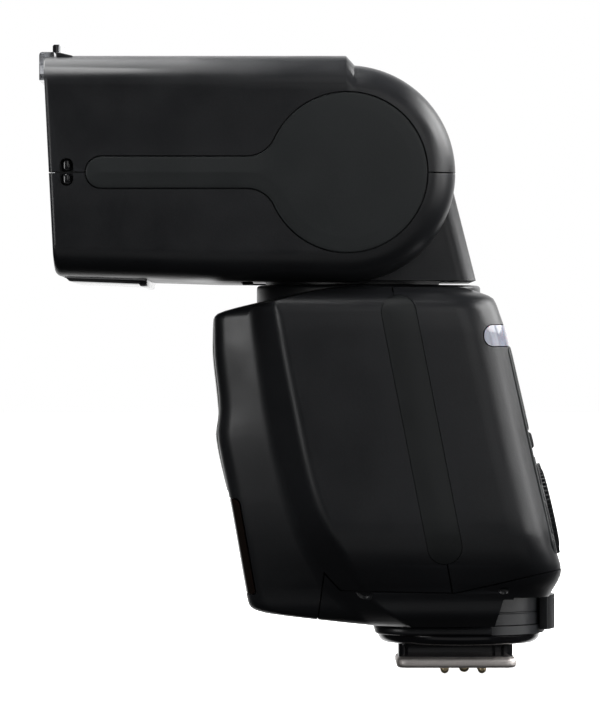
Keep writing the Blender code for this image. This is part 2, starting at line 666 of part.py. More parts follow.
def make_swivel():
    collar = turned("swivel_collar", [(SWIVEL_R - 0.6, COLLAR_TOP_Z), (SWIVEL_R, COLLAR_TOP_Z - 0.6),
                                      (SWIVEL_R, 67.9), (12.0, 67.9), (12.0, COLLAR_TOP_Z)], GLOSS_BLACK, 56)
    collar.location = (0.0, SWIVEL_Y * MM, 0.0)
    tube = turned("swivel_tube", [(TUBE_R, 75.4), (TUBE_R, 65.0), (13.9, 65.0), (13.9, 63.4), (8.8, 63.4),
                                  (8.8, 75.4)], STEEL, 32)
    tube.location = (0.0, SWIVEL_Y * MM, 0.0)
    nut = turned("swivel_nut", [(15.8, 75.7), (15.8, 74.0), (TUBE_R + GAP, 74.0), (TUBE_R + GAP, 75.7)],
                 STEEL, 32)
    nut.location = (0.0, SWIVEL_Y * MM, 0.0)


def turret_outline(inset=0.0):
    """Neck, round drum on the tilt axis, and the wedge behind it."""
    radius = DRUM_R - inset
    front, back = -38.0 + inset, 3.1 - inset
    start = 180 + math.degrees(math.acos((PIVOT_Y - front) / radius))
    floor = TURRET_BOTTOM + inset
    top = arc((PIVOT_Y, PIVOT_Z), radius, start, -6.0, 18)
    return [(back, floor), (front, floor)] + top


def make_turret():
    inner = tool_prism("turret_hollow", turret_outline(WALL), "X", -TURRET_HALF + WALL, TURRET_HALF - WALL)
    floor_hole = tool_rod("turret_floor_hole", (0.0, SWIVEL_Y, 72.0), TUBE_R + GAP, "Z", 8.0, 32)
    bore = tool_rod("turret_axle_bore", (0.0, PIVOT_Y, PIVOT_Z), AXLE_R + GAP, "X", 80.0, 24)
    sides = {"turret_front_shell": (SWIVEL_Y - GAP / 2, 20.0),
             "turret_rear_shell": (-60.0, SWIVEL_Y + GAP / 2)}
    for name, (low, high) in sides.items():
        shell = prism(name, turret_outline(), "X", -TURRET_HALF, TURRET_HALF, BLACK_PLASTIC)
        bevel_rims(shell, 1.6, 2, lambda a, b: 1.0 if abs(a.x - b.x) < 0.01 else 0.0)
        side = tool_box(f"{name}_limit", (-60.0, low, 60.0), (60.0, high, 125.0))
        cut(shell, side, inner, floor_hole, bore)
    wall = TURRET_HALF - WALL
    plate = prism("tilt_detent_plate", detent_outline(), "X", wall - 1.6, wall - GAP, STEEL,
                  holes=[circle((PIVOT_Y, PIVOT_Z), AXLE_R + GAP, 24)])
    smooth(plate)


def detent_outline():
    """A round plate with a click notch every 15 degrees."""
    points = []
    for i in range(24):
        for offset, radius in ((-5.0, 11.0), (-2.5, 11.0), (0.0, 10.2), (2.5, 11.0)):
            angle = math.radians(15 * i + offset)
            points.append((PIVOT_Y + radius * math.cos(angle), PIVOT_Z + radius * math.sin(angle)))
    return points


# ---------------------------------------------------------------- head

def head_outline():
    """Side view of the head: flat nose, long top and bottom, round cheeks on the tilt axis."""
    cheek = arc((PIVOT_Y, PIVOT_Z), CHEEK_R, 86.0, -90.0, 16)
    return [(HEAD_FRONT_TOP, HEAD_TOP), (HEAD_FRONT_LOW - 0.1, HEAD_LOW_FRONT + 1.6),
            (HEAD_FRONT_LOW + 1.4, HEAD_LOW_FRONT), (-44.0, HEAD_LOW), *reversed(cheek),
            (PIVOT_Y - 0.1, HEAD_TOP)]


def head_solid(name):
    solid = prism(name, head_outline(), "X", -HEAD_HALF, HEAD_HALF, BLACK_PLASTIC)
    return bevel_rims(solid, HEAD_EDGE, 3, lambda a, b: 1.0 if abs(a.x - b.x) < 0.01 else 0.0)


def turret_slot():
    """Clearance between the cheeks for the drum, its neck and everything behind it."""
    front = PIVOT_Y - DRUM_R - 0.4
    over = arc((PIVOT_Y, PIVOT_Z), DRUM_R + 0.4, 180.0, 90.0, 10)
    top = PIVOT_Z + DRUM_R + 0.4
    outline = [(front, 60.0), *over, (-19.3, top), (-19.0, 118.0), (8.0, 118.0), (8.0, 60.0)]
    return tool_prism("turret_slot", outline, "X", -SLOT_HALF, SLOT_HALF)


def trim_outline(grow=0.0):
    """Keyhole: a disc on the tilt axis with an arm that runs forward."""
    radius, half = TRIM_DISC_R + grow, TRIM_ARM_HALF + grow
    throat = 180.0 - math.degrees(math.asin((half + 2.2) / radius))
    disc = arc((PIVOT_Y, PIVOT_Z), radius, throat, -throat, 24)
    neck = PIVOT_Y - radius - 2.6
    tip = TRIM_ARM_TIP - grow
    low, high = PIVOT_Z - half, PIVOT_Z + half
    end = [(tip + 1.2, low), (tip, low + 1.2), (tip, high - 1.2), (tip + 1.2, high)]
    return [*disc, (neck, low), *end, (neck, high)]


def make_head_covers():
    hollow = tool_box("head_hollow", (-31.8, -73.3, 74.4), (31.8, -40.4, 107.6))
    pocket = tool_box("panel_pocket", (-30.4, -90.0, 107.0), (30.4, -30.0, 110.9))
    cheek = rounded([(-46.0, 76.0), (-4.5, 76.0), (-4.5, 106.0), (-46.0, 106.0)], [2.0, 14.0, 14.0, 2.0], 6)
    cheek_tools = [tool_prism(f"cheek_hollow_{side}", cheek, "X", *sorted((side * 26.2, side * 33.2)))
                   for side in (-1, 1)]
    border = LENS_HALF + GAP
    opening = tool_box("lens_opening", (-border, -90.0, LENS_LOW - GAP), (border, -70.0, LENS_HIGH + GAP))
    slot = turret_slot()
    seats = [tool_prism(f"trim_seat_{side}", trim_outline(GAP), "X", *sorted((side * 34.2, side * 50.0)))
             for side in (-1, 1)]
    axle_holes = tool_rod("axle_holes", (0.0, PIVOT_Y, PIVOT_Z), AXLE_R + GAP, "X", 70.0, 24)
    button_hole = tool_rod("button_hole", (-40.0, PIVOT_Y, PIVOT_Z), 8.6, "X", 20.0, 32)
    lip_path = tool_box("lip_path", (-30.4, -90.0, 106.9), (30.4, -73.4, 125.0))
    brow = [(-73.3, 111.0), (-73.3, 113.0), (-70.6, 112.2), (-70.6, 111.0)]
    hood = tool_prism("hood", brow, "X", -30.5, 30.5)
    halves = {"head_upper_cover": (PIVOT_Z + GAP / 2, 130.0), "head_lower_cover": (50.0, PIVOT_Z - GAP / 2)}
    for name, (keep_from, keep_to) in halves.items():
        cover = head_solid(name)
        half = tool_box(f"{name}_half", (-60.0, -100.0, keep_from), (60.0, 20.0, keep_to))
        if name == "head_upper_cover":
            join(cover, hood)
            keep(cover, half)
            cut(cover, pocket, lip_path)
        else:
            keep(cover, half)
        cut(cover, hollow, *cheek_tools, opening, slot, *seats, axle_holes, button_hole)


def make_head_trims():
    for name, side in (("head_side_trim_left", -1), ("head_side_trim_right", 1)):
        holes = [circle((PIVOT_Y, PIVOT_Z), 8.6, 28)] if side < 0 else []
        inner, outer = side * 34.5, side * (HEAD_HALF + 0.1)
        prism(name, trim_outline(), "X", *sorted((inner, outer)), TRIM_PLASTIC, holes=holes)


def make_tilt_axle():
    """The axle fixed in the cheeks, which turns in the drum's side bores, and the lock button on its end."""
    smooth(rod("tilt_axle", (0.3, PIVOT_Y, PIVOT_Z), AXLE_R, "X", 66.6, STEEL, 24))
    button = rod("bounce_lock_button", (-35.3, PIVOT_Y, PIVOT_Z), 8.2, "X", 2.0, TRIM_PLASTIC, 36)
    bevel(button, 0.6, 2)


def make_lens():
    """Ribbed window that leans with the head's face, recessed inside its border."""
    def face(depth, border):
        lean = (HEAD_FRONT_LOW - HEAD_FRONT_TOP) / (HEAD_TOP - HEAD_LOW_FRONT)
        ends = (LENS_LOW + border, LENS_HIGH - border)
        return [(HEAD_FRONT_TOP + lean * (HEAD_TOP - z) + depth, z) for z in ends]
    outline = face(0.3, 0.0) + face(1.4, 0.0)[::-1]
    plate = prism("front_lens", outline, "X", -LENS_HALF, LENS_HALF, LENS_CLEAR)
    recess = face(-2.0, 1.5) + face(0.7, 1.5)[::-1]
    cut(plate, tool_prism("lens_recess", recess, "X", -LENS_HALF + 1.5, LENS_HALF - 1.5))


def make_wide_panel():
    """Pull-out diffuser with its finger lip, and the white catchlight card above it."""
    outline = [(-36.0, 107.9), (-76.4, 107.9), (-76.4, 112.6), (-76.0, 113.0), (-73.6, 113.0), (-73.6, 112.0),
               (-75.3, 112.0), (-75.3, 108.9), (-36.0, 108.9)]
    panel = prism("wide_panel", outline, "X", -29.8, 29.8, LENS_CLEAR)
    cut(panel, tool_box("lip_notch", (-5.4, -90.0, 109.2), (5.4, -70.0, 120.0)),
        tool_box("card_slot", (-27.0, -90.0, 109.1), (27.0, -74.0, 110.7)))
    card = box("catchlight_panel", (-26.6, -73.0, 109.4), (26.6, -38.0, 110.4), PANEL_WHITE)
    tab = [(-70.0, 109.7), (-70.0, 110.2), (-73.7, 110.2), (-73.7, 116.0), (-75.0, 116.0), (-75.0, 109.7)]
    join(card, tool_prism("card_tab", tab, "X", -4.8, 4.8))


def make_zoom_mechanism():
    """Reflector and tube on a carriage that a motor drives along the head."""
    prism("zoom_carriage", slab(31.2, 76.2, 100.0, 2.0, 2), "Y", -58.4, -56.6, BLACK_PLASTIC,
          holes=[circle((-ZOOM_X, ZOOM_Z), 1.5 + GAP, 16), circle((ZOOM_X, ZOOM_Z), 1.2 + GAP, 16),
                 slab(20.0, 82.0, 97.0, 2.0, 2)])
    mouth, back = -70.5, -58.9
    outer, inner = [], []
    for share in (0.0, 0.35, 0.7, 1.0):
        y = mouth + (back - mouth) * share
        half_z = 12.8 * math.sqrt(1.0 - 0.82 * share)
        half_x = 25.5 - 1.5 * share
        outer.append([(x, y, 91.0 + z) for x, z in slab(half_x, -half_z, half_z, 2.0, 2)])
        if share < 1.0:
            inner.append([(x * 0.965, y + 0.9 * share, 91.0 + z * (0.93 - 0.04 * share)) for x, z in
                          slab(half_x, -half_z, half_z, 2.0, 2)])
    bowl = loft("reflector", outer, REFLECTOR_METAL)
    inner[0] = [(x, y - OVER, z) for x, y, z in inner[0]]
    cut(bowl, loft("reflector_bowl", inner, None, CUTTERS))
    rod("flash_tube", (0.0, -64.6, 91.0), 1.9, "X", 44.0, LENS_CLEAR, 20)
    smooth(bpy.data.objects["flash_tube"])
    screw = rod("zoom_lead_screw", (-ZOOM_X, -56.8, ZOOM_Z), 1.5, "Y", 31.0, STEEL, 16)
    move_origin(smooth(screw), (-ZOOM_X, -56.8, ZOOM_Z))
    smooth(rod("zoom_guide_rod", (ZOOM_X, -56.8, ZOOM_Z), 1.2, "Y", 31.0, STEEL, 16))
    motor = rod("zoom_motor", (-29.7, -33.6, ZOOM_Z), 3.4, "Y", 14.0, STEEL, 24)
    bevel(motor, 0.4, 1)


def build():
    clear_scene()
    make_foot()
    make_contact_pins()
    make_lock_lever()
    make_body()
    make_back_panel()
    make_controls()
    make_cells()
    make_electronics()
    make_swivel()
    make_turret()
    make_head_covers()
    make_head_trims()
    make_tilt_axle()
    make_lens()
    make_wide_panel()
    make_zoom_mechanism()


build()
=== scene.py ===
"""Shoe-mount speedlight flash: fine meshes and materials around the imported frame.

The frame's nodes are in metres.  Sizes here are millimetres and the mesh helpers scale them, so
they read like the drawing of the part: foot on the origin, lamp towards -Y, panel towards +Y.
"""
import math

import bmesh
import bpy
from mathutils import Matrix, Vector


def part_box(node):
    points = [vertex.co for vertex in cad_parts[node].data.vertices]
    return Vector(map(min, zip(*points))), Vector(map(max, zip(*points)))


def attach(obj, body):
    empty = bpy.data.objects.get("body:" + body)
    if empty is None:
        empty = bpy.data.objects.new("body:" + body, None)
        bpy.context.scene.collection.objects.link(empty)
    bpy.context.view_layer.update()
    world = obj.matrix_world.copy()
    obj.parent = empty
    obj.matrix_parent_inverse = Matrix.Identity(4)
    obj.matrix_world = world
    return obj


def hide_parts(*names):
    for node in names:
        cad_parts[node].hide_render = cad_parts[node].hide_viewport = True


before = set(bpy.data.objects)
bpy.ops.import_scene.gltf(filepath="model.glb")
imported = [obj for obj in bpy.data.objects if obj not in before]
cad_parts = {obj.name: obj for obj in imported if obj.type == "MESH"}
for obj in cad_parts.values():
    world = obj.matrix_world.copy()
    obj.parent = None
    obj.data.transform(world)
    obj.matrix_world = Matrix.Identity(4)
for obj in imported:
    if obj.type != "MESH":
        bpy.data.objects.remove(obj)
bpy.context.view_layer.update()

MM = 0.001


def span(node):
    """A node's lowest and highest corners in millimetres."""
    low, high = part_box(node)
    return [c / MM for c in low], [c / MM for c in high]


# ---------------------------------------------------------------- outlines

def arc(centre, radius, start, end, steps):
    """Points of an arc; the angles are in degrees."""
    points = []
    for i in range(steps + 1):
        angle = math.radians(start + (end - start) * i / steps)
        points.append((centre[0] + radius * math.cos(angle), centre[1] + radius * math.sin(angle)))
    return points


def circle(centre, radius, steps=64):
    """Points of a full circle, without the closing one."""
    return arc(centre, radius, 0.0, 360.0 * (steps - 1) / steps, steps - 1)


def mirrored(side, inner, outer):
    """The low and high x of a span that lies on the left (-1) or right (1) side."""
    return sorted((side * inner, side * outer))


def rounded(points, radii, steps=8):
    """Replace each corner of a polygon with a tangent arc of its own radius."""
    outline = []
    for i, corner in enumerate(points):
        radius = radii[i] if isinstance(radii, (list, tuple)) else radii
        here = Vector(corner)
        back = (Vector(points[i - 1]) - here).normalized()
        ahead = (Vector(points[(i + 1) % len(points)]) - here).normalized()
        half = back.angle(ahead) / 2
        reach = radius / math.tan(half)
        centre = here + (back + ahead).normalized() * radius / math.sin(half)
        start = here + back * reach - centre
        sweep = start.angle_signed(here + ahead * reach - centre)
        for k in range(steps + 1):
            spoke = start.copy()
            spoke.rotate(Matrix.Rotation(-sweep * k / steps, 2))
            outline.append(tuple(centre + spoke))
    return outline


def slab(half_x, low_y, high_y, radius, steps=6):
    """A rectangle with round corners, centred on x = 0."""
    return rounded([(-half_x, low_y), (half_x, low_y), (half_x, high_y), (-half_x, high_y)], radius, steps)


def grown(points, distance):
    """Move every side of a polygon outwards by a distance."""
    area = sum(a[0] * b[1] - b[0] * a[1] for a, b in zip(points, points[1:] + points[:1]))
    side = math.copysign(distance, area)
    outline = []
    for i, corner in enumerate(points):
        before = (Vector(corner) - Vector(points[i - 1])).normalized()
        after = (Vector(points[(i + 1) % len(points)]) - Vector(corner)).normalized()
        normal = Vector((before.y + after.y, -before.x - after.x)).normalized()
        share = side / normal.dot(Vector((before.y, -before.x)))
        outline.append(tuple(Vector(corner) + normal * share))
    return outline


def curve_through(profile):
    """A smooth function through (height, value) points that never overshoots them."""
    heights = [p[0] for p in profile]
    values = [p[1] for p in profile]
    slopes = [(v1 - v0) / (h1 - h0) for h0, h1, v0, v1 in zip(heights, heights[1:], values, values[1:])]
    tangents = [slopes[0]]
    for a, b in zip(slopes, slopes[1:]):
        tangents.append(0.0 if a * b <= 0 else 2 * a * b / (a + b))
    tangents.append(slopes[-1])

    def read(height):
        height = min(max(height, heights[0]), heights[-1])
        i = max(k for k in range(len(heights) - 1) if heights[k] <= height)
        step = heights[i + 1] - heights[i]
        t = (height - heights[i]) / step
        return (values[i] * (1 + 2 * t) * (1 - t) ** 2 + tangents[i] * step * t * (1 - t) ** 2
                + values[i + 1] * t * t * (3 - 2 * t) + tangents[i + 1] * step * t * t * (t - 1))
    return read


# ---------------------------------------------------------------- meshes

AXES = {
    "X": Matrix(((0, 0, 1, 0), (1, 0, 0, 0), (0, 1, 0, 0), (0, 0, 0, 1))),
    "Y": Matrix(((1, 0, 0, 0), (0, 0, -1, 0), (0, 1, 0, 0), (0, 0, 0, 1))),
    "Z": Matrix.Identity(4),
}


def place(name, shape):
    """Scale a bmesh in millimetres to metres and put it into the scene."""
    bmesh.ops.scale(shape, vec=(MM, MM, MM), verts=shape.verts)
    mesh = bpy.data.meshes.new(name)
    shape.to_mesh(mesh)
    shape.free()
    piece = bpy.data.objects.new(name, mesh)
    bpy.context.scene.collection.objects.link(piece)
    return piece


def settle(piece):
    """Turn what the modifiers make into the piece's own mesh."""
    bpy.context.view_layer.update()
    graph = bpy.context.evaluated_depsgraph_get()
    mesh = bpy.data.meshes.new_from_object(piece.evaluated_get(graph))
    piece.modifiers.clear()
    piece.data = mesh
    return piece


def prism(name, outline, axis, low, high, holes=()):
    """Extrude a flat outline: (y, z) along X, (x, z) along Y, (x, y) along Z."""
    curve = bpy.data.curves.new(name, "CURVE")
    curve.dimensions = "2D"
    curve.fill_mode = "BOTH"
    curve.extrude = abs(high - low) / 2 * MM
    for ring in (outline, *holes):
        spline = curve.splines.new("POLY")
        spline.points.add(len(ring) - 1)
        for point, (u, v) in zip(spline.points, ring):
            point.co = (u * MM, v * MM, 0.0, 1.0)
        spline.use_cyclic_u = True
    guide = bpy.data.objects.new(name, curve)
    bpy.context.scene.collection.objects.link(guide)
    mesh = bpy.data.meshes.new_from_object(guide.evaluated_get(bpy.context.evaluated_depsgraph_get()))
    bpy.data.objects.remove(guide, do_unlink=True)
    shape = bmesh.new()
    shape.from_mesh(mesh)
    bpy.data.meshes.remove(mesh)
    bmesh.ops.remove_doubles(shape, verts=shape.verts, dist=0.000005)
    bmesh.ops.dissolve_limit(shape, angle_limit=0.001, verts=shape.verts, edges=shape.edges)
    middle = (low + high) / 2 * MM
    shift = Matrix.Translation((0.0, 0.0, -middle if axis == "Y" else middle))
    bmesh.ops.transform(shape, matrix=AXES[axis] @ shift, verts=shape.verts)
    bmesh.ops.recalc_face_normals(shape, faces=shape.faces)
    bmesh.ops.scale(shape, vec=(1 / MM,) * 3, verts=shape.verts)
    return place(name, shape)


def box(name, low, high):
    """A block between two corners."""
    shape = bmesh.new()
    bmesh.ops.create_cube(shape, size=1.0)
    bmesh.ops.scale(shape, vec=[h - l for l, h in zip(low, high)], verts=shape.verts)
    bmesh.ops.translate(shape, vec=[(h + l) / 2 for l, h in zip(low, high)], verts=shape.verts)
    return place(name, shape)


def rod(name, centre, radius, axis, length, sides=48):
    """A straight rod centred on a point."""
    shape = bmesh.new()
    bmesh.ops.create_cone(shape, cap_ends=True, segments=sides, radius1=radius, radius2=radius, depth=length)
    turn = {"X": Matrix.Rotation(math.pi / 2, 4, "Y"), "Y": Matrix.Rotation(-math.pi / 2, 4, "X"),
            "Z": Matrix.Identity(4)}[axis]
    bmesh.ops.transform(shape, matrix=Matrix.Translation(centre) @ turn, verts=shape.verts)
    return place(name, shape)


def skin(name, rings, closed=False):
    """A surface over rings with equal point counts; capped, or closed into a loop."""
    shape = bmesh.new()
    levels = [[shape.verts.new(point) for point in ring] for ring in rings]
    count = len(rings[0])
    pairs = list(zip(levels, levels[1:]))
    if closed:
        pairs.append((levels[-1], levels[0]))
    for lower, upper in pairs:
        for i in range(count):
            j = (i + 1) % count
            shape.faces.new((lower[i], lower[j], upper[j], upper[i]))
    if not closed:
        shape.faces.new(reversed(levels[0]))
        shape.faces.new(levels[-1])
    bmesh.ops.recalc_face_normals(shape, faces=shape.faces)
    return place(name, shape)


def turned(name, profile, centre=(0.0, 0.0), sides=72):
    """Spin an (r, z) profile round a vertical axis; a closed ring if it never reaches the axis."""
    hollow = all(r > 0 for r, z in profile)
    rings = []
    for k in range(sides):
        angle = 2 * math.pi * k / sides
        along, across = math.cos(angle), math.sin(angle)
        rings.append([(centre[0] + r * along, centre[1] + r * across, z) for r, z in profile])
    if hollow:
        return skin(name, rings, closed=True)
    levels = [[ring[i] for ring in rings] for i in range(len(profile))]
    return skin(name, levels)


def carve(piece, operation, *tools):
    """Boolean a piece with some tools, and remove the tools."""
    for tool in tools:
        step = piece.modifiers.new("carve", "BOOLEAN")
        step.operation = operation
        step.solver = "EXACT"
        step.object = tool
    settle(piece)
    for tool in tools:
        bpy.data.objects.remove(tool, do_unlink=True)
    return piece


def cut(piece, *tools):
    """Take the tools' volume away from a piece."""
    return carve(piece, "DIFFERENCE", *tools)


def keep(piece, *tools):
    """Leave only what a piece shares with the tools."""
    return carve(piece, "INTERSECT", *tools)


def join(piece, *tools):
    """Make one closed mesh of a piece and the tools."""
    return carve(piece, "UNION", *tools)


def bevel(piece, width, segments=3, angle=35.0):
    """Round the edges sharper than an angle, and settle the result."""
    weld = piece.modifiers.new("weld", "WELD")
    weld.merge_threshold = 0.000002
    step = piece.modifiers.new("edges", "BEVEL")
    step.width = width * MM
    step.segments = segments
    step.limit_method = "ANGLE"
    step.angle_limit = math.radians(angle)
    step.use_clamp_overlap = True
    return settle(piece)


def dress(piece, material, body, *nodes, angle=32.0):
    """Finish a new piece: material, smooth shading, the body it rides on and what it stands for."""
    piece.data.materials.clear()
    piece.data.materials.append(material)
    piece.data.shade_smooth()
    piece.data.set_sharp_from_angle(angle=math.radians(angle))
    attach(piece, body)
    if nodes:
        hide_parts(*nodes)
    return piece


# ---------------------------------------------------------------- materials

def ramp(tree, value, low, high, start, end, smooth=False):
    """Map the part of a value between start and end onto the range from low to high."""
    node = tree.nodes.new("ShaderNodeMapRange")
    node.interpolation_type = "SMOOTHSTEP" if smooth else "LINEAR"
    for socket, number in (("From Min", start), ("From Max", end), ("To Min", low), ("To Max", high)):
        node.inputs[socket].default_value = number
    tree.links.new(value, node.inputs["Value"])
    return node.outputs["Result"]


class Graph:
    """A material's node tree, with short calls for the nodes that the finishes share."""

    def __init__(self, name):
        self.material = bpy.data.materials.new(name)
        self.material.use_nodes = True
        self.tree = self.material.node_tree
        self.shader = self.tree.nodes["Principled BSDF"]
        coordinates = self.tree.nodes.new("ShaderNodeTexCoord")
        self.place = coordinates.outputs["Object"]

    def set(self, **values):
        """Constants on the shader's own sockets, spelled with underscores for spaces."""
        for socket, value in values.items():
            self.shader.inputs[socket.replace("_", " ")].default_value = value
        return self

    def link(self, output, socket):
        """Join a node's output to one of the shader's sockets."""
        self.tree.links.new(output, self.shader.inputs[socket])

    def stretched(self, scale):
        """Object coordinates scaled per axis, for brushed or ribbed detail."""
        node = self.tree.nodes.new("ShaderNodeMapping")
        node.inputs["Scale"].default_value = scale
        self.tree.links.new(self.place, node.inputs["Vector"])
        return node.outputs["Vector"]

    def noise(self, scale, detail=2.0, roughness=0.5, vector=None):
        """Cloudy noise; a scale of 1 / length has spots of about that length in metres."""
        node = self.tree.nodes.new("ShaderNodeTexNoise")
        node.inputs["Scale"].default_value = scale
        node.inputs["Detail"].default_value = detail
        node.inputs["Roughness"].default_value = roughness
        self.tree.links.new(vector or self.place, node.inputs["Vector"])
        return node.outputs["Fac"]

    def spread(self, value, low, high, start=0.3, end=0.7):
        """Spread the middle of a noise, or another part of a value's range, over a new range."""
        return ramp(self.tree, value, low, high, start, end)

    def blend(self, factor, first, second):
        """Mix two colours; a colour is an RGB triple or another node's output."""
        node = self.tree.nodes.new("ShaderNodeMix")
        node.data_type = "RGBA"
        self.tree.links.new(factor, node.inputs["Factor"])
        for socket, colour in ((node.inputs[6], first), (node.inputs[7], second)):
            if isinstance(colour, tuple):
                socket.default_value = (*colour, 1.0)
            else:
                self.tree.links.new(colour, socket)
        return node.outputs[2]

    def worn(self):
        """1 on convex edges that hands rub, 0 elsewhere."""
        node = self.tree.nodes.new("ShaderNodeNewGeometry")
        return self.spread(node.outputs["Pointiness"], 0.0, 1.0, 0.53, 0.66)

    def mottle(self, cloud, colour, dark, light):
        """Base colour that wanders between a darker and a lighter tint."""
        return self.blend(self.spread(cloud, 0.0, 1.0), tint(colour, dark), tint(colour, light))

    def relief(self, *layers):
        """Chain bump layers of (height, strength, depth in millimetres)."""
        last = None
        for height, strength, depth in layers:
            node = self.tree.nodes.new("ShaderNodeBump")
            node.inputs["Strength"].default_value = strength
            node.inputs["Distance"].default_value = depth * MM
            self.tree.links.new(height, node.inputs["Height"])
            if last:
                self.tree.links.new(last, node.inputs["Normal"])
            last = node.outputs["Normal"]
        self.link(last, "Normal")


def tint(colour, factor):
    """A colour made lighter or darker."""
    return tuple(min(1.0, c * factor) for c in colour)


def moulded_plastic(name, colour, roughness, grain_mm=0.35, grain_depth=0.02, wear=2.2):
    """Spark-textured moulding: fine grain, faint flow marks, and edges rubbed lighter."""
    graph = Graph(name)
    graph.set(IOR=1.5, Specular_IOR_Level=0.5)
    flow = graph.noise(60.0, 3.0)
    fine = graph.noise(1.0 / (grain_mm * MM), 3.0, 0.65)
    clouded = graph.mottle(flow, colour, 0.9, 1.12)
    speckled = graph.blend(graph.spread(fine, 0.0, 0.35, 0.45, 0.75), clouded, tint(colour, 1.7))
    graph.link(graph.blend(graph.worn(), speckled, tint(colour, wear)), "Base Color")
    graph.link(graph.spread(graph.noise(140.0, 4.0), roughness - 0.05, roughness + 0.06), "Roughness")
    graph.relief((fine, 0.55, grain_depth), (graph.noise(25.0, 1.0), 0.2, 0.12))
    return graph.material


def polished_plastic(name, colour, roughness):
    """Smooth glossy plastic with faint rub marks."""
    graph = Graph(name)
    graph.set(IOR=1.5, Coat_Weight=0.3, Coat_Roughness=0.06)
    marks = graph.noise(350.0, 5.0, 0.7)
    graph.link(graph.mottle(marks, colour, 0.92, 1.1), "Base Color")
    graph.link(graph.spread(marks, roughness * 0.7, roughness * 1.5), "Roughness")
    graph.relief((marks, 0.15, 0.01))
    return graph.material


def bare_metal(name, colour, roughness, brush=(1.0, 1.0, 1.0), depth=0.006):
    """Metal with brush or turning marks along one axis and slightly brighter edges."""
    graph = Graph(name)
    graph.set(Metallic=1.0)
    brushed = graph.noise(900.0, 4.0, 0.6, graph.stretched(brush))
    stained = graph.mottle(graph.noise(90.0, 3.0), colour, 0.82, 1.06)
    graph.link(graph.blend(graph.worn(), stained, tint(colour, 1.3)), "Base Color")
    graph.link(graph.spread(brushed, roughness * 0.8, roughness * 1.3), "Roughness")
    graph.relief((brushed, 0.4, depth))
    return graph.material


def rubber(name, colour):
    """Soft-touch rubber: matt, finely pimpled, with a little dust in the grain."""
    graph = Graph(name)
    graph.set(Specular_IOR_Level=0.35, Sheen_Weight=0.12, Sheen_Roughness=0.5)
    grain = graph.noise(4000.0, 2.0, 0.6)
    dust = graph.noise(500.0, 4.0, 0.7)
    graph.link(graph.mottle(dust, colour, 0.9, 1.35), "Base Color")
    graph.link(graph.spread(dust, 0.62, 0.75), "Roughness")
    graph.relief((grain, 0.5, 0.015))
    return graph.material


def clear_plastic(name, colour, roughness, haze=0.0):
    """Transparent moulding with faint scratches; haze adds a little milky body."""
    graph = Graph(name)
    graph.set(Transmission_Weight=1.0 - haze, IOR=1.49, Base_Color=(*colour, 1.0))
    scratches = graph.noise(700.0, 6.0, 0.75)
    graph.link(graph.spread(scratches, roughness * 0.6, roughness * 1.6), "Roughness")
    graph.relief((scratches, 0.1, 0.004))
    return graph.material


def smoked_window(name, colour, edge_colour, roughness=0.12):
    """Dark infrared-pass plastic: nearly black face on, with colour in its thin edges."""
    graph = Graph(name)
    graph.set(IOR=1.5, Coat_Weight=0.5, Coat_Roughness=0.04)
    body = graph.mottle(graph.noise(45.0, 2.0), colour, 0.85, 1.2)
    graph.link(graph.blend(graph.worn(), body, edge_colour), "Base Color")
    graph.link(graph.spread(graph.noise(500.0, 4.0), roughness * 0.7, roughness * 1.4), "Roughness")
    graph.relief((graph.noise(30.0, 1.0), 0.15, 0.1))
    return graph.material


def printed_sleeve(name, colour, band, axis_scale):
    """Shrunk plastic sleeve with broad bands of colour and fine wrinkles."""
    graph = Graph(name)
    graph.set(Coat_Weight=0.6, Coat_Roughness=0.08)
    waves = graph.tree.nodes.new("ShaderNodeTexWave")
    waves.inputs["Scale"].default_value = 9.0
    waves.inputs["Distortion"].default_value = 0.0
    graph.tree.links.new(graph.stretched(axis_scale), waves.inputs["Vector"])
    stripe = graph.spread(waves.outputs["Fac"], 0.0, 1.0, 0.82, 0.86)
    graph.link(graph.blend(stripe, colour, band), "Base Color")
    wrinkle = graph.noise(400.0, 4.0, 0.6)
    graph.link(graph.spread(wrinkle, 0.22, 0.38), "Roughness")
    graph.relief((wrinkle, 0.25, 0.03))
    return graph.material


def lamp_plastic(name, colour):
    """Milky lilac light-guide plastic with a faintly clouded tint."""
    graph = Graph(name)
    graph.set(Coat_Weight=0.7, Coat_Roughness=0.05, Subsurface_Weight=0.25, Subsurface_Scale=0.001)
    cloud = graph.noise(220.0, 3.0)
    graph.link(graph.mottle(cloud, colour, 0.9, 1.12), "Base Color")
    graph.link(graph.spread(cloud, 0.18, 0.3), "Roughness")
    graph.relief((cloud, 0.2, 0.03))
    return graph.material


def circuit_green(name):
    """Solder mask over copper tracks."""
    graph = Graph(name)
    graph.set(Coat_Weight=0.4, Coat_Roughness=0.1)
    bricks = graph.tree.nodes.new("ShaderNodeTexBrick")
    settings = {"Scale": 260.0, "Mortar Size": 0.03, "Color1": (0.01, 0.10, 0.035, 1.0),
                "Color2": (0.012, 0.13, 0.045, 1.0), "Mortar": (0.03, 0.22, 0.07, 1.0)}
    for socket, value in settings.items():
        bricks.inputs[socket].default_value = value
    graph.tree.links.new(graph.place, bricks.inputs["Vector"])
    graph.link(bricks.outputs["Color"], "Base Color")
    graph.link(graph.spread(graph.noise(600.0, 3.0), 0.25, 0.45), "Roughness")
    graph.relief((bricks.outputs["Fac"], 0.4, 0.03))
    return graph.material


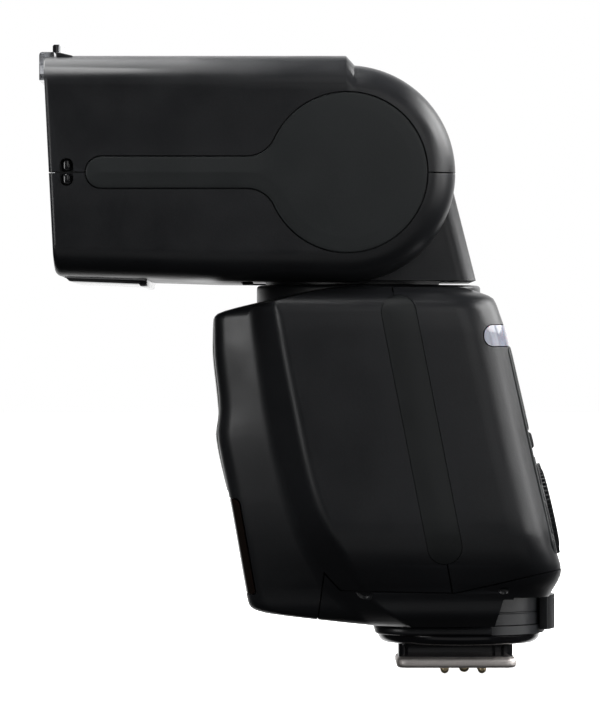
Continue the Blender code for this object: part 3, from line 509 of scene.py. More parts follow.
BLACK = (0.0150, 0.0158, 0.0178)
COOL_BLACK = (0.0150, 0.0172, 0.0180)
SATIN = moulded_plastic("satin_black_plastic", BLACK, 0.35)
SATIN_INSIDE = moulded_plastic("inside_black_plastic", tint(BLACK, 0.8), 0.6, 0.6, 0.03, 1.2)
TRIM = moulded_plastic("trim_plastic", tint(COOL_BLACK, 1.35), 0.44, 0.28, 0.014, 1.5)
INLAY = moulded_plastic("inlay_plastic", tint(COOL_BLACK, 0.80), 0.46, 0.28, 0.014, 1.5)
GLOSS = polished_plastic("gloss_black_plastic", (0.012, 0.012, 0.014), 0.17)
RUBBER = rubber("soft_rubber", (0.022, 0.022, 0.024))
FOOT_PLATED = bare_metal("foot_plated_metal", (0.88, 0.83, 0.80), 0.56, (0.25, 4.0, 1.0))
STEEL = bare_metal("plain_steel", (0.55, 0.55, 0.56), 0.28, (1.0, 0.3, 1.0))
GOLD = bare_metal("plated_contact_metal", (0.90, 0.72, 0.46), 0.36, (1.0, 1.0, 0.2))
MIRROR = bare_metal("reflector_metal", (0.90, 0.90, 0.92), 0.10, (0.2, 1.0, 1.0), 0.002)
CLEAR = clear_plastic("clear_lens_plastic", (0.95, 0.97, 1.0), 0.06)
FROSTED = clear_plastic("frosted_diffuser_plastic", (0.90, 0.92, 0.94), 0.16, 0.03)
LIP = clear_plastic("tinted_lip_plastic", (0.42, 0.43, 0.45), 0.14, 0.10)
TUBE = clear_plastic("tube_glass", (0.98, 0.99, 1.0), 0.02)
SMOKE = smoked_window("sensor_smoke_plastic", (0.012, 0.010, 0.010), (0.10, 0.105, 0.045))
MAROON = smoked_window("assist_lamp_red_plastic", (0.0120, 0.0080, 0.0062), (0.03, 0.010, 0.008), 0.10)
LAMP = lamp_plastic("link_lamp_plastic", (0.30, 0.31, 0.40))
WHITE = moulded_plastic("white_card_plastic", (0.78, 0.78, 0.76), 0.45, 0.5, 0.012, 1.1)
BOARD = circuit_green("circuit_board")
DISPLAY = smoked_window("display_glass", (0.030, 0.034, 0.030), (0.05, 0.055, 0.05), 0.06)
PRINT = moulded_plastic("white_marking", (0.55, 0.55, 0.55), 0.5, 0.3, 0.005, 1.0)
PRINT_GREEN = polished_plastic("display_backing", (0.20, 0.24, 0.19), 0.25)
CELL = printed_sleeve("cell_sleeve", (0.02, 0.021, 0.024), (0.33, 0.27, 0.12), (2.0, 0.0, 0.0))
CAPACITOR = printed_sleeve("capacitor_sleeve", (0.012, 0.014, 0.05), (0.5, 0.5, 0.48), (1.4, 0.0, 0.0))


# ---------------------------------------------------------------- body shells

# The body against its height: front, back, half width, half width of the flat nose, and how far forward the
# bulge's ridge and the valley beside the nose lie.
FRONT = curve_through([(8.3, -15.8), (9.4, -27.0), (10.8, -36.7), (11.6, -38.2), (12.6, -38.7), (14.2, -39.0),
                       (31.0, -41.9), (42.0, -44.1), (43.6, -44.3), (48.0, -43.9), (60.0, -44.9),
                       (64.4, -44.9), (65.3, -44.6), (66.0, -43.2), (67.2, -38.7), (68.4, -33.5),
                       (69.2, -30.0), (69.8, -27.4), (70.4, -23.5)])
BACK = curve_through([(8.3, 15.6), (12.6, 16.2), (14.8, 17.2), (17.0, 18.3), (18.6, 18.7), (19.8, 18.5),
                      (21.4, 18.0), (24.0, 17.2), (60.5, 8.75), (62.3, 8.35), (65.5, 7.3), (68.4, 6.1),
                      (69.6, 3.5), (70.4, 1.0)])
HALF = curve_through([(8.3, 22.0), (10.8, 25.0), (13.3, 26.0), (14.8, 27.0), (17.0, 29.2), (20.5, 31.8),
                      (23.6, 33.2), (26.3, 33.85), (29.0, 34.0), (62.0, 34.0), (66.0, 33.8), (67.6, 33.3),
                      (68.8, 32.2), (69.7, 30.6), (70.4, 28.0)])
NOSE = curve_through([(8.3, 17.0), (12.6, 19.5), (32.0, 23.5), (66.0, 24.5), (70.4, 22.0)])
RIDGE = curve_through([(8.3, -9.0), (14.8, -17.5), (20.5, -20.6), (25.4, -23.4), (30.7, -25.9), (37.9, -27.9),
                       (47.6, -29.9), (57.7, -32.0), (66.5, -33.6), (70.4, -34.2)])
VALLEY = curve_through([(8.3, -16.0), (14.8, -23.4), (19.3, -26.0), (23.4, -28.2), (30.7, -31.0),
                        (42.7, -34.4), (50.5, -35.8), (65.6, -37.6), (70.4, -38.2)])
BODY_LOW, BODY_HIGH = 8.3, 70.4
WALL = 2.0                                     # thickness of the outer mouldings
SEAM = 0.25                                    # gap between neighbouring mouldings
CELL_ROOM = (12.0, 67.0)                       # heights of the hollow inside the shells
ACROSS = (-60.0, 60.0)                         # how far a cutter reaches from side to side
SWIVEL_Y = -16.3                               # the axis on which the turret swivels
RING_Y = 0.56                                  # the axis of the lock ring, its drum and the collar
DOOR_HINGE = (-28.6, -11.2, 13.6)              # middle of the cell door's pin
STRIPE_TOP, STRIPE_LOW, STRIPE_HALF = (-11.3, 65.8), (-2.95, 23.3), 3.2


def section(height, inset=0.0):
    """One level of the body: flat nose, a valley, the bulge's ridge, and a broad rear corner."""
    front, back = FRONT(height) + inset, BACK(height) - inset
    half, nose = HALF(height) - inset, NOSE(height) - inset
    ridge = max(RIDGE(height), front - inset + 2.0)
    depth = ridge - front
    valley = (nose + 0.36 * (half - nose), max(VALLEY(height), ridge - 0.55 * depth))
    corners = [(nose, front), valley, (half, ridge), (half - 0.8, back)]
    tightened = min(1.0, depth / 14.0)           # the front radii shrink where the bulge is shallow
    radii = [4.6 * tightened, 6.0 * tightened, 3.0 * tightened, 8.5]
    outline = [(-x, y) for x, y in reversed(corners)] + corners
    return [(x, y, height) for x, y in rounded(outline, radii[::-1] + radii, 9)]


def housing(name, inset=0.0, low=BODY_LOW, high=BODY_HIGH):
    """The body's outside, or the same surface moved inwards, between two heights."""
    heights = [low]
    while heights[-1] < high - 0.3:
        step = 2.0 if 28.0 <= heights[-1] <= 60.0 else 0.55      # finer where the curves bend
        heights.append(min(heights[-1] + step, high))
    return skin(name, [section(height, inset) for height in heights])


PARTING_TOP, PARTING_LOW = (-12.5, 70.7), (-1.5, 15.3)
# Side view of everything that belongs to the base cover.
BASE_EDGE = [(-27.0, 0.0), (-24.6, 18.0), (-21.8, 15.0), (-0.7, 14.6), (14.9, 18.3), (30.0, 21.0),
             (30.0, 0.0)]


def beyond_parting(name, behind, shift):
    """The half space on one side of the slanted line between the front and rear shells."""
    (y_top, z_top), (y_low, z_low) = PARTING_TOP, PARTING_LOW
    slope = (y_low - y_top) / (z_low - z_top)
    line = [(y_top + slope * (z - z_top) + shift, z) for z in (-10.0, 90.0)]
    reach = 60.0 if behind else -80.0
    return prism(name, [line[0], line[1], (reach, 90.0), (reach, -10.0)], "X", *ACROSS)


def capsule(top, low, radius, steps=16):
    """A slot outline with round ends between two centres."""
    lean = math.degrees(math.atan2(top[1] - low[1], top[0] - low[0]))
    return arc(top, radius, lean - 90, lean + 90, steps) + arc(low, radius, lean + 90, lean + 270, steps)


def body_openings(prefix):
    """Cutters for the swivel collar, its tube, the cell door and the side stripe."""
    door = rounded([(-27.5, 15.15), (5.0, 15.15), (5.0, 49.0), (-27.5, 49.0)], [0.6, 0.6, 2.0, 2.0])
    stripe = prism(f"{prefix}_stripe", capsule(STRIPE_TOP, STRIPE_LOW, STRIPE_HALF), "X", 25.0, 45.0)
    cut(stripe, housing(f"{prefix}_stripe_floor", 0.8, 10.0, 70.0))
    return [rod(f"{prefix}_collar", (0.0, SWIVEL_Y, 72.0), 21.2, "Z", 9.0, 96),
            rod(f"{prefix}_tube", (0.0, SWIVEL_Y, 66.0), 14.2, "Z", 16.0, 64),
            prism(f"{prefix}_door", door, "X", -50.0, -22.0), stripe]


def assist_outline(grow):
    """Side view of the assist lamp's band round the nose, with a round upper corner."""
    low, high = 14.3 - grow, 31.7 + grow
    edge = [(FRONT(z) + 1.7 + grow, z) for z in (low, high)]
    return rounded([(-60.0, low), edge[0], edge[1], (-60.0, high)], [0.2, 0.5, 1.2, 0.2], 5)


def sensor_seat():
    """The groove that the metering strip sits in, following the nose."""
    rings = []
    for i in range(25):
        z = 32.3 + 33.3 * i / 24
        rings.append([(x, FRONT(z) + y, z) for x, y in slab(13.4, -9.0, 1.0, 0.4, 2)])
    return skin("sensor_seat", rings)


def build_front_shell():
    """The shell ahead of the parting line, with the seats for the nose's windows."""
    shell = housing("front_shell")
    cut(shell, sensor_seat(), prism("assist_seat", assist_outline(SEAM), "X", -30.0, 30.0))
    cut(shell, housing("front_hollow", WALL, *CELL_ROOM), beyond_parting("front_limit", True, -SEAM / 2),
        prism("front_base_clear", grown(BASE_EDGE, SEAM), "X", *ACROSS), *body_openings("front"))
    dress(shell, SATIN, "body", "body_front_shell")


def build_rear_shell():
    """The shell behind the parting line, open for the control panel and the link lamp."""
    shell = housing("rear_shell")
    seat = on_panel(prism("panel_seat", slab(27.75, -41.75, -1.75, 3.0), "Z", -6.0, 6.0), 0.0)
    dial = on_panel(rod("dial_seat", (0.0, 0.0, 0.0), 9.0, "Z", 12.0, 96), DIAL_DOWN)
    lamp = prism("lamp_seat", lamp_outline(0.18), "X", 26.0, 45.0)
    cut(shell, housing("rear_hollow", WALL, *CELL_ROOM), beyond_parting("rear_limit", False, SEAM / 2),
        prism("rear_base_clear", grown(BASE_EDGE, SEAM), "X", *ACROSS), seat, dial, lamp,
        *body_openings("rear"))
    dress(shell, SATIN, "body", "body_rear_shell")


LAP_DOOR = ((-50.0, -27.0, 15.0), (-22.0, 5.0, 50.0))     # the room that the laps leave for the cell door


def build_shell_laps():
    """Thin tongues behind the seams, so that no light shows through them."""
    reach = 1.2                                  # to each side of the seam
    (y_top, z_top), (y_low, z_low) = PARTING_TOP, PARTING_LOW
    strip = [(y_top - reach, z_top), (y_low - reach, z_low - 2.0), (y_low + reach, z_low - 2.0),
             (y_top + reach, z_top)]
    lap = keep(housing("shell_lap", 0.95, 9.0, 69.6), prism("lap_strip", strip, "X", *ACROSS))
    cut(lap, housing("lap_hollow", WALL + 0.1, 8.0, 69.0),
        rod("lap_tube", (0.0, SWIVEL_Y, 70.0), 21.3, "Z", 12.0, 96), box("lap_door", *LAP_DOOR))
    dress(lap, SATIN_INSIDE, "body")
    upper, lower = (prism("base_strip", [(y, z + rise) for y, z in BASE_EDGE], "X", *ACROSS)
                    for rise in (reach, -reach))
    base = keep(housing("base_lap", 0.95, 9.0, 24.0), upper)
    cut(base, lower, housing("base_lap_hollow", WALL + 0.1, 9.8, 25.0),
        rod("lap_ring", (0.0, RING_Y, 8.0), 17.4, "Z", 12.6, 96), box("base_lap_door", *LAP_DOOR))
    dress(base, SATIN_INSIDE, "body")


def crease(piece, start, end, half, rise):
    """Raise a strip's middle line, given as (y, z) points, so that its two halves lean apart."""
    shape = bmesh.new()
    shape.from_mesh(piece.data)
    line = Vector((end[0] - start[0], end[1] - start[1])).normalized()
    for offset in (0.0, -0.5 * half, 0.5 * half):
        at = ((start[0] - line.y * offset) * MM, (start[1] + line.x * offset) * MM)
        bmesh.ops.bisect_plane(shape, geom=shape.verts[:] + shape.edges[:] + shape.faces[:], dist=1e-7,
                               plane_co=(0.0, *at), plane_no=(0.0, -line.y, line.x))
    for vert in shape.verts:
        across = (vert.co.z / MM - start[1]) * line.x - (vert.co.y / MM - start[0]) * line.y
        vert.co.x += rise * MM * max(0.0, 1.0 - abs(across) / half)
    shape.to_mesh(piece.data)
    shape.free()
    return piece


def build_stripe():
    """The inlaid strip down the side over the parting line, faintly creased along its middle."""
    inlay = prism("side_stripe", capsule(STRIPE_TOP, STRIPE_LOW, STRIPE_HALF - 0.10), "X", 25.0, 45.0)
    keep(inlay, housing("stripe_skin", 0.10, 10.0, 70.0))
    cut(inlay, housing("stripe_inside", 0.78, 10.0, 70.0))
    crease(inlay, STRIPE_TOP, STRIPE_LOW, STRIPE_HALF, 0.16)
    dress(inlay, INLAY, "body", angle=50.0)


SCREW_CHANNELS = ((-17.65, 26.9, 1.75, 13.0, 16.4), (8.0, 27.3, 1.2, 14.1, 15.8))   # y, x, radius, low, high


def lever_path():
    """The room the lock lever's tab sweeps round the ring."""
    path = arc((0.0, RING_Y), 30.0, 20, 122, 24) + arc((0.0, RING_Y), 16.2, 122, 20, 24)
    return prism("lever_path", path, "Z", 6.0, 13.8)


def build_base_cover():
    """The narrow base under the bulge, with its screw channels and the pocket for the lock ring."""
    channels = []
    for y, x, radius, low, high in SCREW_CHANNELS:
        for side in (-1, 1):
            channel = rod("channel", (side * x, y, (low + high) / 2), radius, "Z", high - low, 40)
            channels.append(bevel(channel, radius * 0.6, 6))
    cover = cut(housing("base_housing"), *channels)
    keep(cover, prism("base_region", BASE_EDGE, "X", *ACROSS))
    corner = prism("open_corner", [(6.3, 7.9), (7.95, 13.5), (40.0, 13.8), (40.0, 7.9)], "X", 0.0, 60.0)
    cut(cover, housing("base_inside", WALL, 12.0, 25.4),
        rod("ring_seat", (0.0, RING_Y, 6.8), 16.4, "Z", 5.8, 96), lever_path(), corner)
    dress(cover, SATIN, "body", "base_cover")


def build_hinge_knuckles():
    """Lugs round the cell door's pin, by turns on the body and on the door."""
    x, middle, z = DOOR_HINGE
    reach = 5.0
    for i in range(5):
        y = middle + 6.0 * (i - 2)
        if i % 2 == 0:
            body, low, high = "body", (x, z - 1.0), (x + 4.2, z + 0.2)
        else:
            body, low, high = "battery_door", (x - 1.0, z), (x + 0.4, z + 2.6)
        lug = box("lug", (low[0], y - reach / 2, low[1]), (high[0], y + reach / 2, high[1]))
        knuckle = join(rod(f"door_knuckle_{i + 1}", (x, y, z), 1.0, "Y", reach, 32), lug)
        dress(bevel(knuckle, 0.15, 2), SATIN, body)


def build_assist_lens():
    """The dark red window round the nose, with a black plate behind it."""
    lens = housing("assist_lens", 0.0, 12.0, 34.0)
    keep(lens, prism("assist_part", assist_outline(0.0), "X", -30.0, 30.0))
    cut(lens, housing("assist_inside", WALL, 10.0, 36.0))
    dress(lens, MAROON, "body", "af_assist_lens")
    edge = [(FRONT(z) + depth, z) for z, depth in ((13.6, 0.9), (32.4, 0.9), (32.4, 3.4), (13.6, 3.4))]
    dress(prism("assist_bulkhead", edge, "X", -8.0, 8.0), SATIN_INSIDE, "body")


def build_sensor_strip():
    """The smoked metering window: a shallow crowned strip standing a little proud of the nose."""
    low, high, steps = 32.6, 65.3, 60
    fan = [math.radians(-90 + 180 * k / 24) for k in range(25)]
    rings = []
    for i in range(steps + 1):
        share = i / steps
        z = low + (high - low) * share
        rise = math.sin(math.pi * share) ** 0.25 if 0 < share < 1 else 0.0
        dip = 0.35 * math.exp(-((z - 46.0) / 2.6) ** 2)          # a faint waist near the middle
        proud = 0.15 + 0.65 * rise - dip
        y, half = FRONT(z), 12.4 + 0.6 * rise
        crown = [(half * math.sin(a), y - proud * math.cos(a * 0.98) ** 0.5) for a in fan]
        rings.append([(x, depth, z) for x, depth in [(-half, y + 0.7), *crown, (half, y + 0.7)]])
    dress(skin("sensor_strip", rings), SMOKE, "body", "sensor_window")


def lamp_outline(grow):
    """Side view of the link lamp window: its front end is round, its rear end wraps the corner."""
    front, back, low, high = 4.2 - grow, 14.0, 59.7 - grow, 63.5 + grow
    corners = [(front, low), (back, low), (back, high), (front, high)]
    return rounded(corners, [1.7 + grow, 0.3, 0.3, 1.7 + grow])


def build_link_lamp():
    """The pale window that wraps the body's rear corner."""
    window = housing("link_lamp", -0.12, 55.0, 67.0)
    keep(window, prism("lamp_part", lamp_outline(0.0), "X", 26.0, 45.0))
    cut(window, housing("lamp_inside", 1.2, 50.0, 69.0),
        on_panel(prism("lamp_panel_clear", slab(27.9, -41.9, -1.6, 3.0), "Z", -6.0, 6.0), 0.0))
    dress(window, LAMP, "body", "link_lamp_window")


def build_battery_door():
    """The cell door: a skin of the bulge with finger grips and a seat for its catch."""
    outline = rounded([(-27.2, 15.4), (4.7, 15.4), (4.7, 48.7), (-27.2, 48.7)], [0.6, 0.6, 1.7, 1.7])
    door = keep(housing("cell_door"), prism("door_blank", outline, "X", -50.0, -26.0))
    cut(door, housing("door_inner", 1.8, *CELL_ROOM),
        box("catch_seat", (-50.0, -17.0, 38.7), (-33.1, -5.4, 46.3)),
        prism("door_base_clear", grown(BASE_EDGE, 2 * SEAM), "X", *ACROSS))
    cut(door, *[rod("grip", (-34.3, DOOR_HINGE[1], 22.0 + 1.6 * i), 0.5, "Y", 14.0, 16) for i in range(5)])
    dress(door, SATIN, "battery_door", "battery_door")


def build_door_catch():
    """The sliding thumb catch in the cell door, with four grooves across it."""
    catch = bevel(box("cell_door_catch", (-34.6, -16.7, 41.0), (-33.4, -5.7, 46.0)), 0.3, 2)
    lows = [42.0 + 0.9 * i for i in range(4)]
    cut(catch, *[box("catch_groove", (-35.0, -15.2, z), (-34.25, -7.2, z + 0.4)) for z in lows])
    dress(catch, TRIM, "battery_door_catch", "battery_door_catch")


# ---------------------------------------------------------------- control panel

PANEL_Y, PANEL_Z = 8.3, 62.3                   # top edge of the panel plane
PANEL_LEAN = math.atan2(9.7, 42.7)             # how far the panel leans back from upright
DIAL_DOWN = 34.1                               # the dial's centre, down from the panel's top edge


def on_panel(piece, distance, across=0.0):
    """Carry a piece made flat at the origin to a spot on the leaning back panel, baked into its mesh."""
    lean_sin, lean_cos = math.sin(PANEL_LEAN), math.cos(PANEL_LEAN)
    spot = Vector((across, PANEL_Y + lean_sin * distance, PANEL_Z - lean_cos * distance)) * MM
    turn = Matrix(((-1, 0, 0), (0, -lean_sin, lean_cos), (0, lean_cos, lean_sin))).to_4x4()
    piece.data.transform(Matrix.Translation(spot) @ turn)
    return piece


def key_places():
    """Every key: place across, distance down the panel, and half sizes."""
    places = {f"function_button_{i + 1}": (-(i - 1.5) * 12.0, 20.4, 3.6, 1.5) for i in range(4)}
    places["mode_button"] = (16.5, 27.0, 3.2, 2.0)
    places["test_button"] = (16.5, 34.5, 2.6, 2.6)
    places["wireless_button"] = (-16.5, 27.0, 3.2, 2.0)
    return places


def build_back_panel():
    """The moulded plate with its raised display bezel and the openings for the controls."""
    through = (-8.0, 8.0)
    plate = bevel(prism("panel_plate", slab(27.5, -41.5, -2.0, 2.7, 8), "Z", -2.0, -0.02), 0.35, 3, 60.0)
    join(plate, bevel(prism("bezel", slab(22.6, -18.6, -2.7, 1.8, 8), "Z", -1.5, 0.45), 0.4, 3, 60.0))
    tools = [prism("display_opening", slab(21.0, -17.2, -4.0, 1.0), "Z", *through)]
    for x, distance, half_x, half_v in key_places().values():
        hole = slab(half_x + 0.3, -half_v - 0.3, half_v + 0.3, 1.1)
        tools.append(prism("key_hole", [(u - x, v - distance) for u, v in hole], "Z", *through))
    cut(plate, *tools, rod("dial_hole", (0.0, -DIAL_DOWN, 0.0), 9.0, "Z", 16.0, 96))
    dress(on_panel(plate, 0.0), TRIM, "body", "back_panel")


def build_display():
    """The display's window, and four small pips at the panel's corners."""
    window = prism("display_window", slab(20.7, -16.9, -4.3, 0.8), "Z", -1.4, -0.2)
    dress(on_panel(bevel(window, 0.2, 2, 60.0), 0.0), DISPLAY, "body", "lcd_window")
    for x, tag in ((-25.0, "l"), (25.0, "r")):
        for distance in (24.0, 38.5):
            pip = bevel(rod(f"panel_pip_{tag}_{distance:.0f}", (0.0, 0.0, -0.05), 0.7, "Z", 0.5, 24), 0.15, 2)
            dress(on_panel(pip, distance, x), GLOSS, "body")


def key_cap(name, half_x, half_v, top):
    """A key with a dished, rounded top: stacked slabs that shrink towards the crown."""
    edge = 0.5
    steps = [(-2.6, 0.0), (top - edge, 0.0)]
    for degrees in (20, 40, 60, 80, 90):
        angle = math.radians(degrees)
        steps.append((top - edge + edge * math.sin(angle), edge - edge * math.cos(angle)))
    steps += [(top - 0.06, 0.75), (top - 0.1, 1.0)]
    rings = []
    for z, inset in steps:
        radius = max(0.15, min(1.0, half_v - inset - 0.1))
        rings.append([(x, y, z) for x, y in slab(half_x - inset, -half_v + inset, half_v - inset, radius)])
    return skin(name, rings)


def build_keys():
    """The seven rubber keys of the panel."""
    for name, (x, distance, half_x, half_v) in key_places().items():
        cap = key_cap(f"{name}_cap", half_x, half_v, 0.7)
        dress(on_panel(cap, distance, x), RUBBER, name, name)


def build_dial():
    """The knurled wheel with its dished crown and four marks, and the bezel round it."""
    count = 60
    tooth = ((8.25, -3.0), (8.3, -2.0), (8.6, -0.9), (8.65, 0.0), (8.6, 0.9), (8.3, 2.0))
    outline = []
    for i in range(count):
        for radius, turn in tooth:
            angle = math.radians(360.0 * i / count + turn)
            outline.append((radius * math.cos(angle), radius * math.sin(angle)))
    dial = prism("dial_wheel", outline, "Z", -1.7, 1.8, holes=[circle((0, 0), 4.0, 64)])
    crown = [(7.6, 1.7), (7.5, 1.98), (7.1, 2.1), (6.4, 2.05), (5.4, 1.75), (4.6, 1.9), (4.05, 1.7),
             (4.05, 1.1), (7.6, 1.1)]
    join(dial, turned("dial_crown", crown, sides=120))
    dress(on_panel(dial, DIAL_DOWN), SATIN, "select_dial", "select_dial")
    bezel = [(9.1, -1.5), (9.1, 0.75), (9.25, 1.0), (9.6, 1.1), (10.0, 0.95), (10.3, 0.45), (10.45, -0.1),
             (10.45, -1.5)]
    dress(on_panel(turned("dial_bezel", bezel, sides=120), DIAL_DOWN), TRIM, "body")
    for i in range(4):
        angle = math.radians(90 * i)
        spot = (6.0 * math.cos(angle), 6.0 * math.sin(angle), 1.9)
        mark = rod(f"dial_mark_{i + 1}", spot, 0.28, "Z", 0.36, 20)
        dress(on_panel(bevel(mark, 0.06, 1), DIAL_DOWN), PRINT, "select_dial")


def build_set_key():
    """The round key in the middle of the dial."""
    profile = [(0.0, 1.6), (1.5, 1.64), (2.8, 1.76), (3.3, 1.8), (3.6, 1.65), (3.7, 1.35), (3.7, -2.3),
               (0.0, -2.3)]
    dress(on_panel(turned("set_cap", profile), DIAL_DOWN), RUBBER, "set_button", "set_button")


def build_power_switch():
    """The sliding switch beside the dial, with five grooves across it."""
    switch = bevel(prism("switch_cap", slab(4.5, -1.9, 1.9, 0.9), "Z", 0.3, 1.6), 0.3, 3, 60.0)
    middles = [-2.2 + 1.1 * i for i in range(5)]
    cut(switch, *[box("switch_groove", (x - 0.17, -1.3, 1.38), (x + 0.17, 1.3, 2.0)) for x in middles])
    dress(on_panel(switch, 36.0, -17.0), TRIM, "power_switch", "power_switch")


# ---------------------------------------------------------------- swivel and turret

PIVOT = (-20.6, 91.0)                          # the tilt axis, as (y, z)
TURRET_HALF = 23.8


def build_swivel():
    """The collar on top of the body that the turret turns on."""
    profile = [(20.3, 71.0), (20.6, 70.92), (20.82, 70.7), (20.9, 70.4), (20.9, 67.9), (12.0, 67.9),
               (12.0, 71.0)]
    collar = turned("swivel_ring", profile, (0.0, SWIVEL_Y), 144)
    dress(collar, SATIN, "body", "swivel_collar")


def turret_outline(inset, rim=0.0):
    """Neck, round drum on the tilt axis, and the wedge behind it; a rim moves all but the floor."""
    radius = 19.1 - inset - rim
    front, back_low, floor = -38.0 + inset + rim, 3.1 - inset - rim, 71.7 + inset
    start = 180 + math.degrees(math.acos((PIVOT[0] - front) / radius))
    top = arc(PIVOT, radius, start, -3.0, 60)
    return [(back_low, floor), (front, floor), *top]


def turret_solid(name, inset=0.0, rim=3.6):
    """The turret with its side rims rolled over towards the back."""
    half = TURRET_HALF - inset
    turns = [0.0] if rim == 0 else [90.0 * k / 8 for k in range(9)]
    rings = []
    for side in (-1, 1):
        for degrees in turns[::-side]:
            angle = math.radians(degrees)
            x = side * (half - rim + rim * math.cos(angle))
            rings.append([(x, y, z) for y, z in turret_outline(inset, rim - rim * math.sin(angle))])
    return skin(name, rings)


def build_turret_skirt():
    """A thin plate under the turret that hides the swivel gap except at the rear."""
    half = math.degrees(math.acos(12.8 / 19.2))
    outline = arc((0.0, SWIVEL_Y), 19.2, 90.0 + half, 450.0 - half, 96)
    dress(prism("turret_skirt", outline, "Z", 71.06, 71.9), SATIN, "turret")


def build_turret():
    """Front and rear shells of the turret, hollow, with the swivel hole and the tilt axle's bore."""
    for name, low, high in (("turret_front", SWIVEL_Y - 0.12, 20.0), ("turret_rear", -60.0, SWIVEL_Y + 0.12)):
        shell = turret_solid(name)
        cut(shell, box("turret_limit", (-60.0, low, 60.0), (60.0, high, 125.0)),
            turret_solid("turret_hollow", 2.0, 0.0),
            rod("turret_floor_hole", (0.0, SWIVEL_Y, 72.0), 11.9, "Z", 8.0, 72),
            rod("turret_bore", (0.0, *PIVOT), 3.3, "X", 80.0, 48))
        dress(shell, SATIN, "turret", f"{name}_shell")


# ---------------------------------------------------------------- head

HEAD_HALF, HEAD_TOP, HEAD_LOW_FRONT, HEAD_LOW = 35.25, 112.4, 72.4, 71.5
HEAD_FRONT = curve_through([(72.4, -73.5), (112.4, -75.5)])
CHEEK_R = 19.7
RIM_DEPTH = 7.4                                # the rims are rolled further across than they are high
CATCH_Y = -71.2                                # the slots where the two covers hook together
CREASE = 0.16                                  # how far the arm's crest stands above its edges
TRIM_R, ARM_HALF, ARM_TIP, THROAT_R = 14.5, 2.9, -67.8, 5.5


def head_section(x, inset, edge):
    """Side view of the head, with its long rims moved in by one amount and its nose by another."""
    low, top = HEAD_LOW_FRONT + inset, HEAD_TOP - inset
    belly = (-44.0, HEAD_LOW + inset)
    middle = PIVOT[1] - 1.0
    nose = [(HEAD_FRONT(z) + edge, z) for z in (low, middle, top)]
    chin = rounded([belly, nose[0], nose[1]], [0.1, 1.3, 0.1], 6)[7:14]
    brow = [(nose[2][0], top - 0.25), (nose[2][0] + 0.25, top)]
    step = [(-20.9, top), (-20.7, top - 0.1)]
    cheek = arc(PIVOT, CHEEK_R - inset, 86.0, -90.0, 64)
    return [(x, y, z) for y, z in (belly, *chin, *brow, (-50.0, top), *step, *cheek)]


def head_solid(name, rim=5.5, nose_rim=0.8):
    """The whole head, lofted across: broad rolled rims along it and a tight one round its nose."""
    levels = [(0.0, rim, nose_rim)]
    for k in range(1, 13):
        angle = math.radians(90.0 * k / 12)
        depth = RIM_DEPTH * (1 - math.cos(angle))
        nose = nose_rim - math.sqrt(nose_rim ** 2 - (nose_rim - depth) ** 2) if depth < nose_rim else 0.0
        levels.append((depth, rim * (1 - math.sin(angle)), nose))
    rings = [head_section(-HEAD_HALF + depth, inset, edge) for depth, inset, edge in levels]
    rings += [head_section(HEAD_HALF - depth, inset, edge) for depth, inset, edge in reversed(levels)]
    return skin(name, rings)


def keyhole(grow=0.0):
    """A disc on the tilt axis with an arm running forward to a round tip, joined by throat fillets."""
    y0, z0 = PIVOT
    radius, half, throat = TRIM_R + grow, ARM_HALF + grow, THROAT_R - grow
    rise = half + throat
    reach = math.sqrt((radius + throat) ** 2 - rise ** 2)
    meet = math.degrees(math.atan2(rise, -reach))
    disc = arc((y0, z0), radius, meet, -meet, 96)
    lower = arc((y0 - reach, z0 - rise), throat, 180.0 - meet, 90.0, 10)[1:]
    tip = arc((ARM_TIP + ARM_HALF, z0), half, 270.0, 90.0, 24)
    upper = arc((y0 - reach, z0 + rise), throat, -90.0, meet - 180.0, 10)[:-1]
    return disc + lower + tip + upper


def turret_slot():
    """Clearance between the cheeks for the drum, its neck and everything behind it."""
    front, reach = PIVOT[0] - 19.5, 19.5
    over = arc(PIVOT, reach, 180.0, 90.0, 24)
    outline = [(front, 60.0), *over, (-19.3, PIVOT[1] + reach), (-19.0, 118.0), (8.0, 118.0), (8.0, 60.0)]
    return prism("turret_slot", outline, "X", -24.3, 24.3)


def cheek_tools():
    """What both cheeks lose: the hollow inside, the trim's seat, the catch slot and the notch at the nose."""
    hollow = rounded([(-46.0, 76.0), (-4.5, 76.0), (-4.5, 106.0), (-46.0, 106.0)], [2.0, 14.0, 14.0, 2.0], 12)
    slot = capsule((CATCH_Y, 92.35), (CATCH_Y, 89.75), 1.22)
    tools = []
    for side in (-1, 1):
        tools.append(prism("cheek_hollow", hollow, "X", *mirrored(side, 26.2, 33.2)))
        tools.append(prism("trim_seat", keyhole(0.16), "X", *mirrored(side, 34.2, 50.0)))
        tools.append(prism("catch_slot", slot, "X", *mirrored(side, 33.9, 50.0)))
        inner, outer = mirrored(side, 34.3, 50.0)
        tools.append(box("nose_notch", (inner, -90.0, 90.6), (outer, -74.1, 91.4)))
    return tools


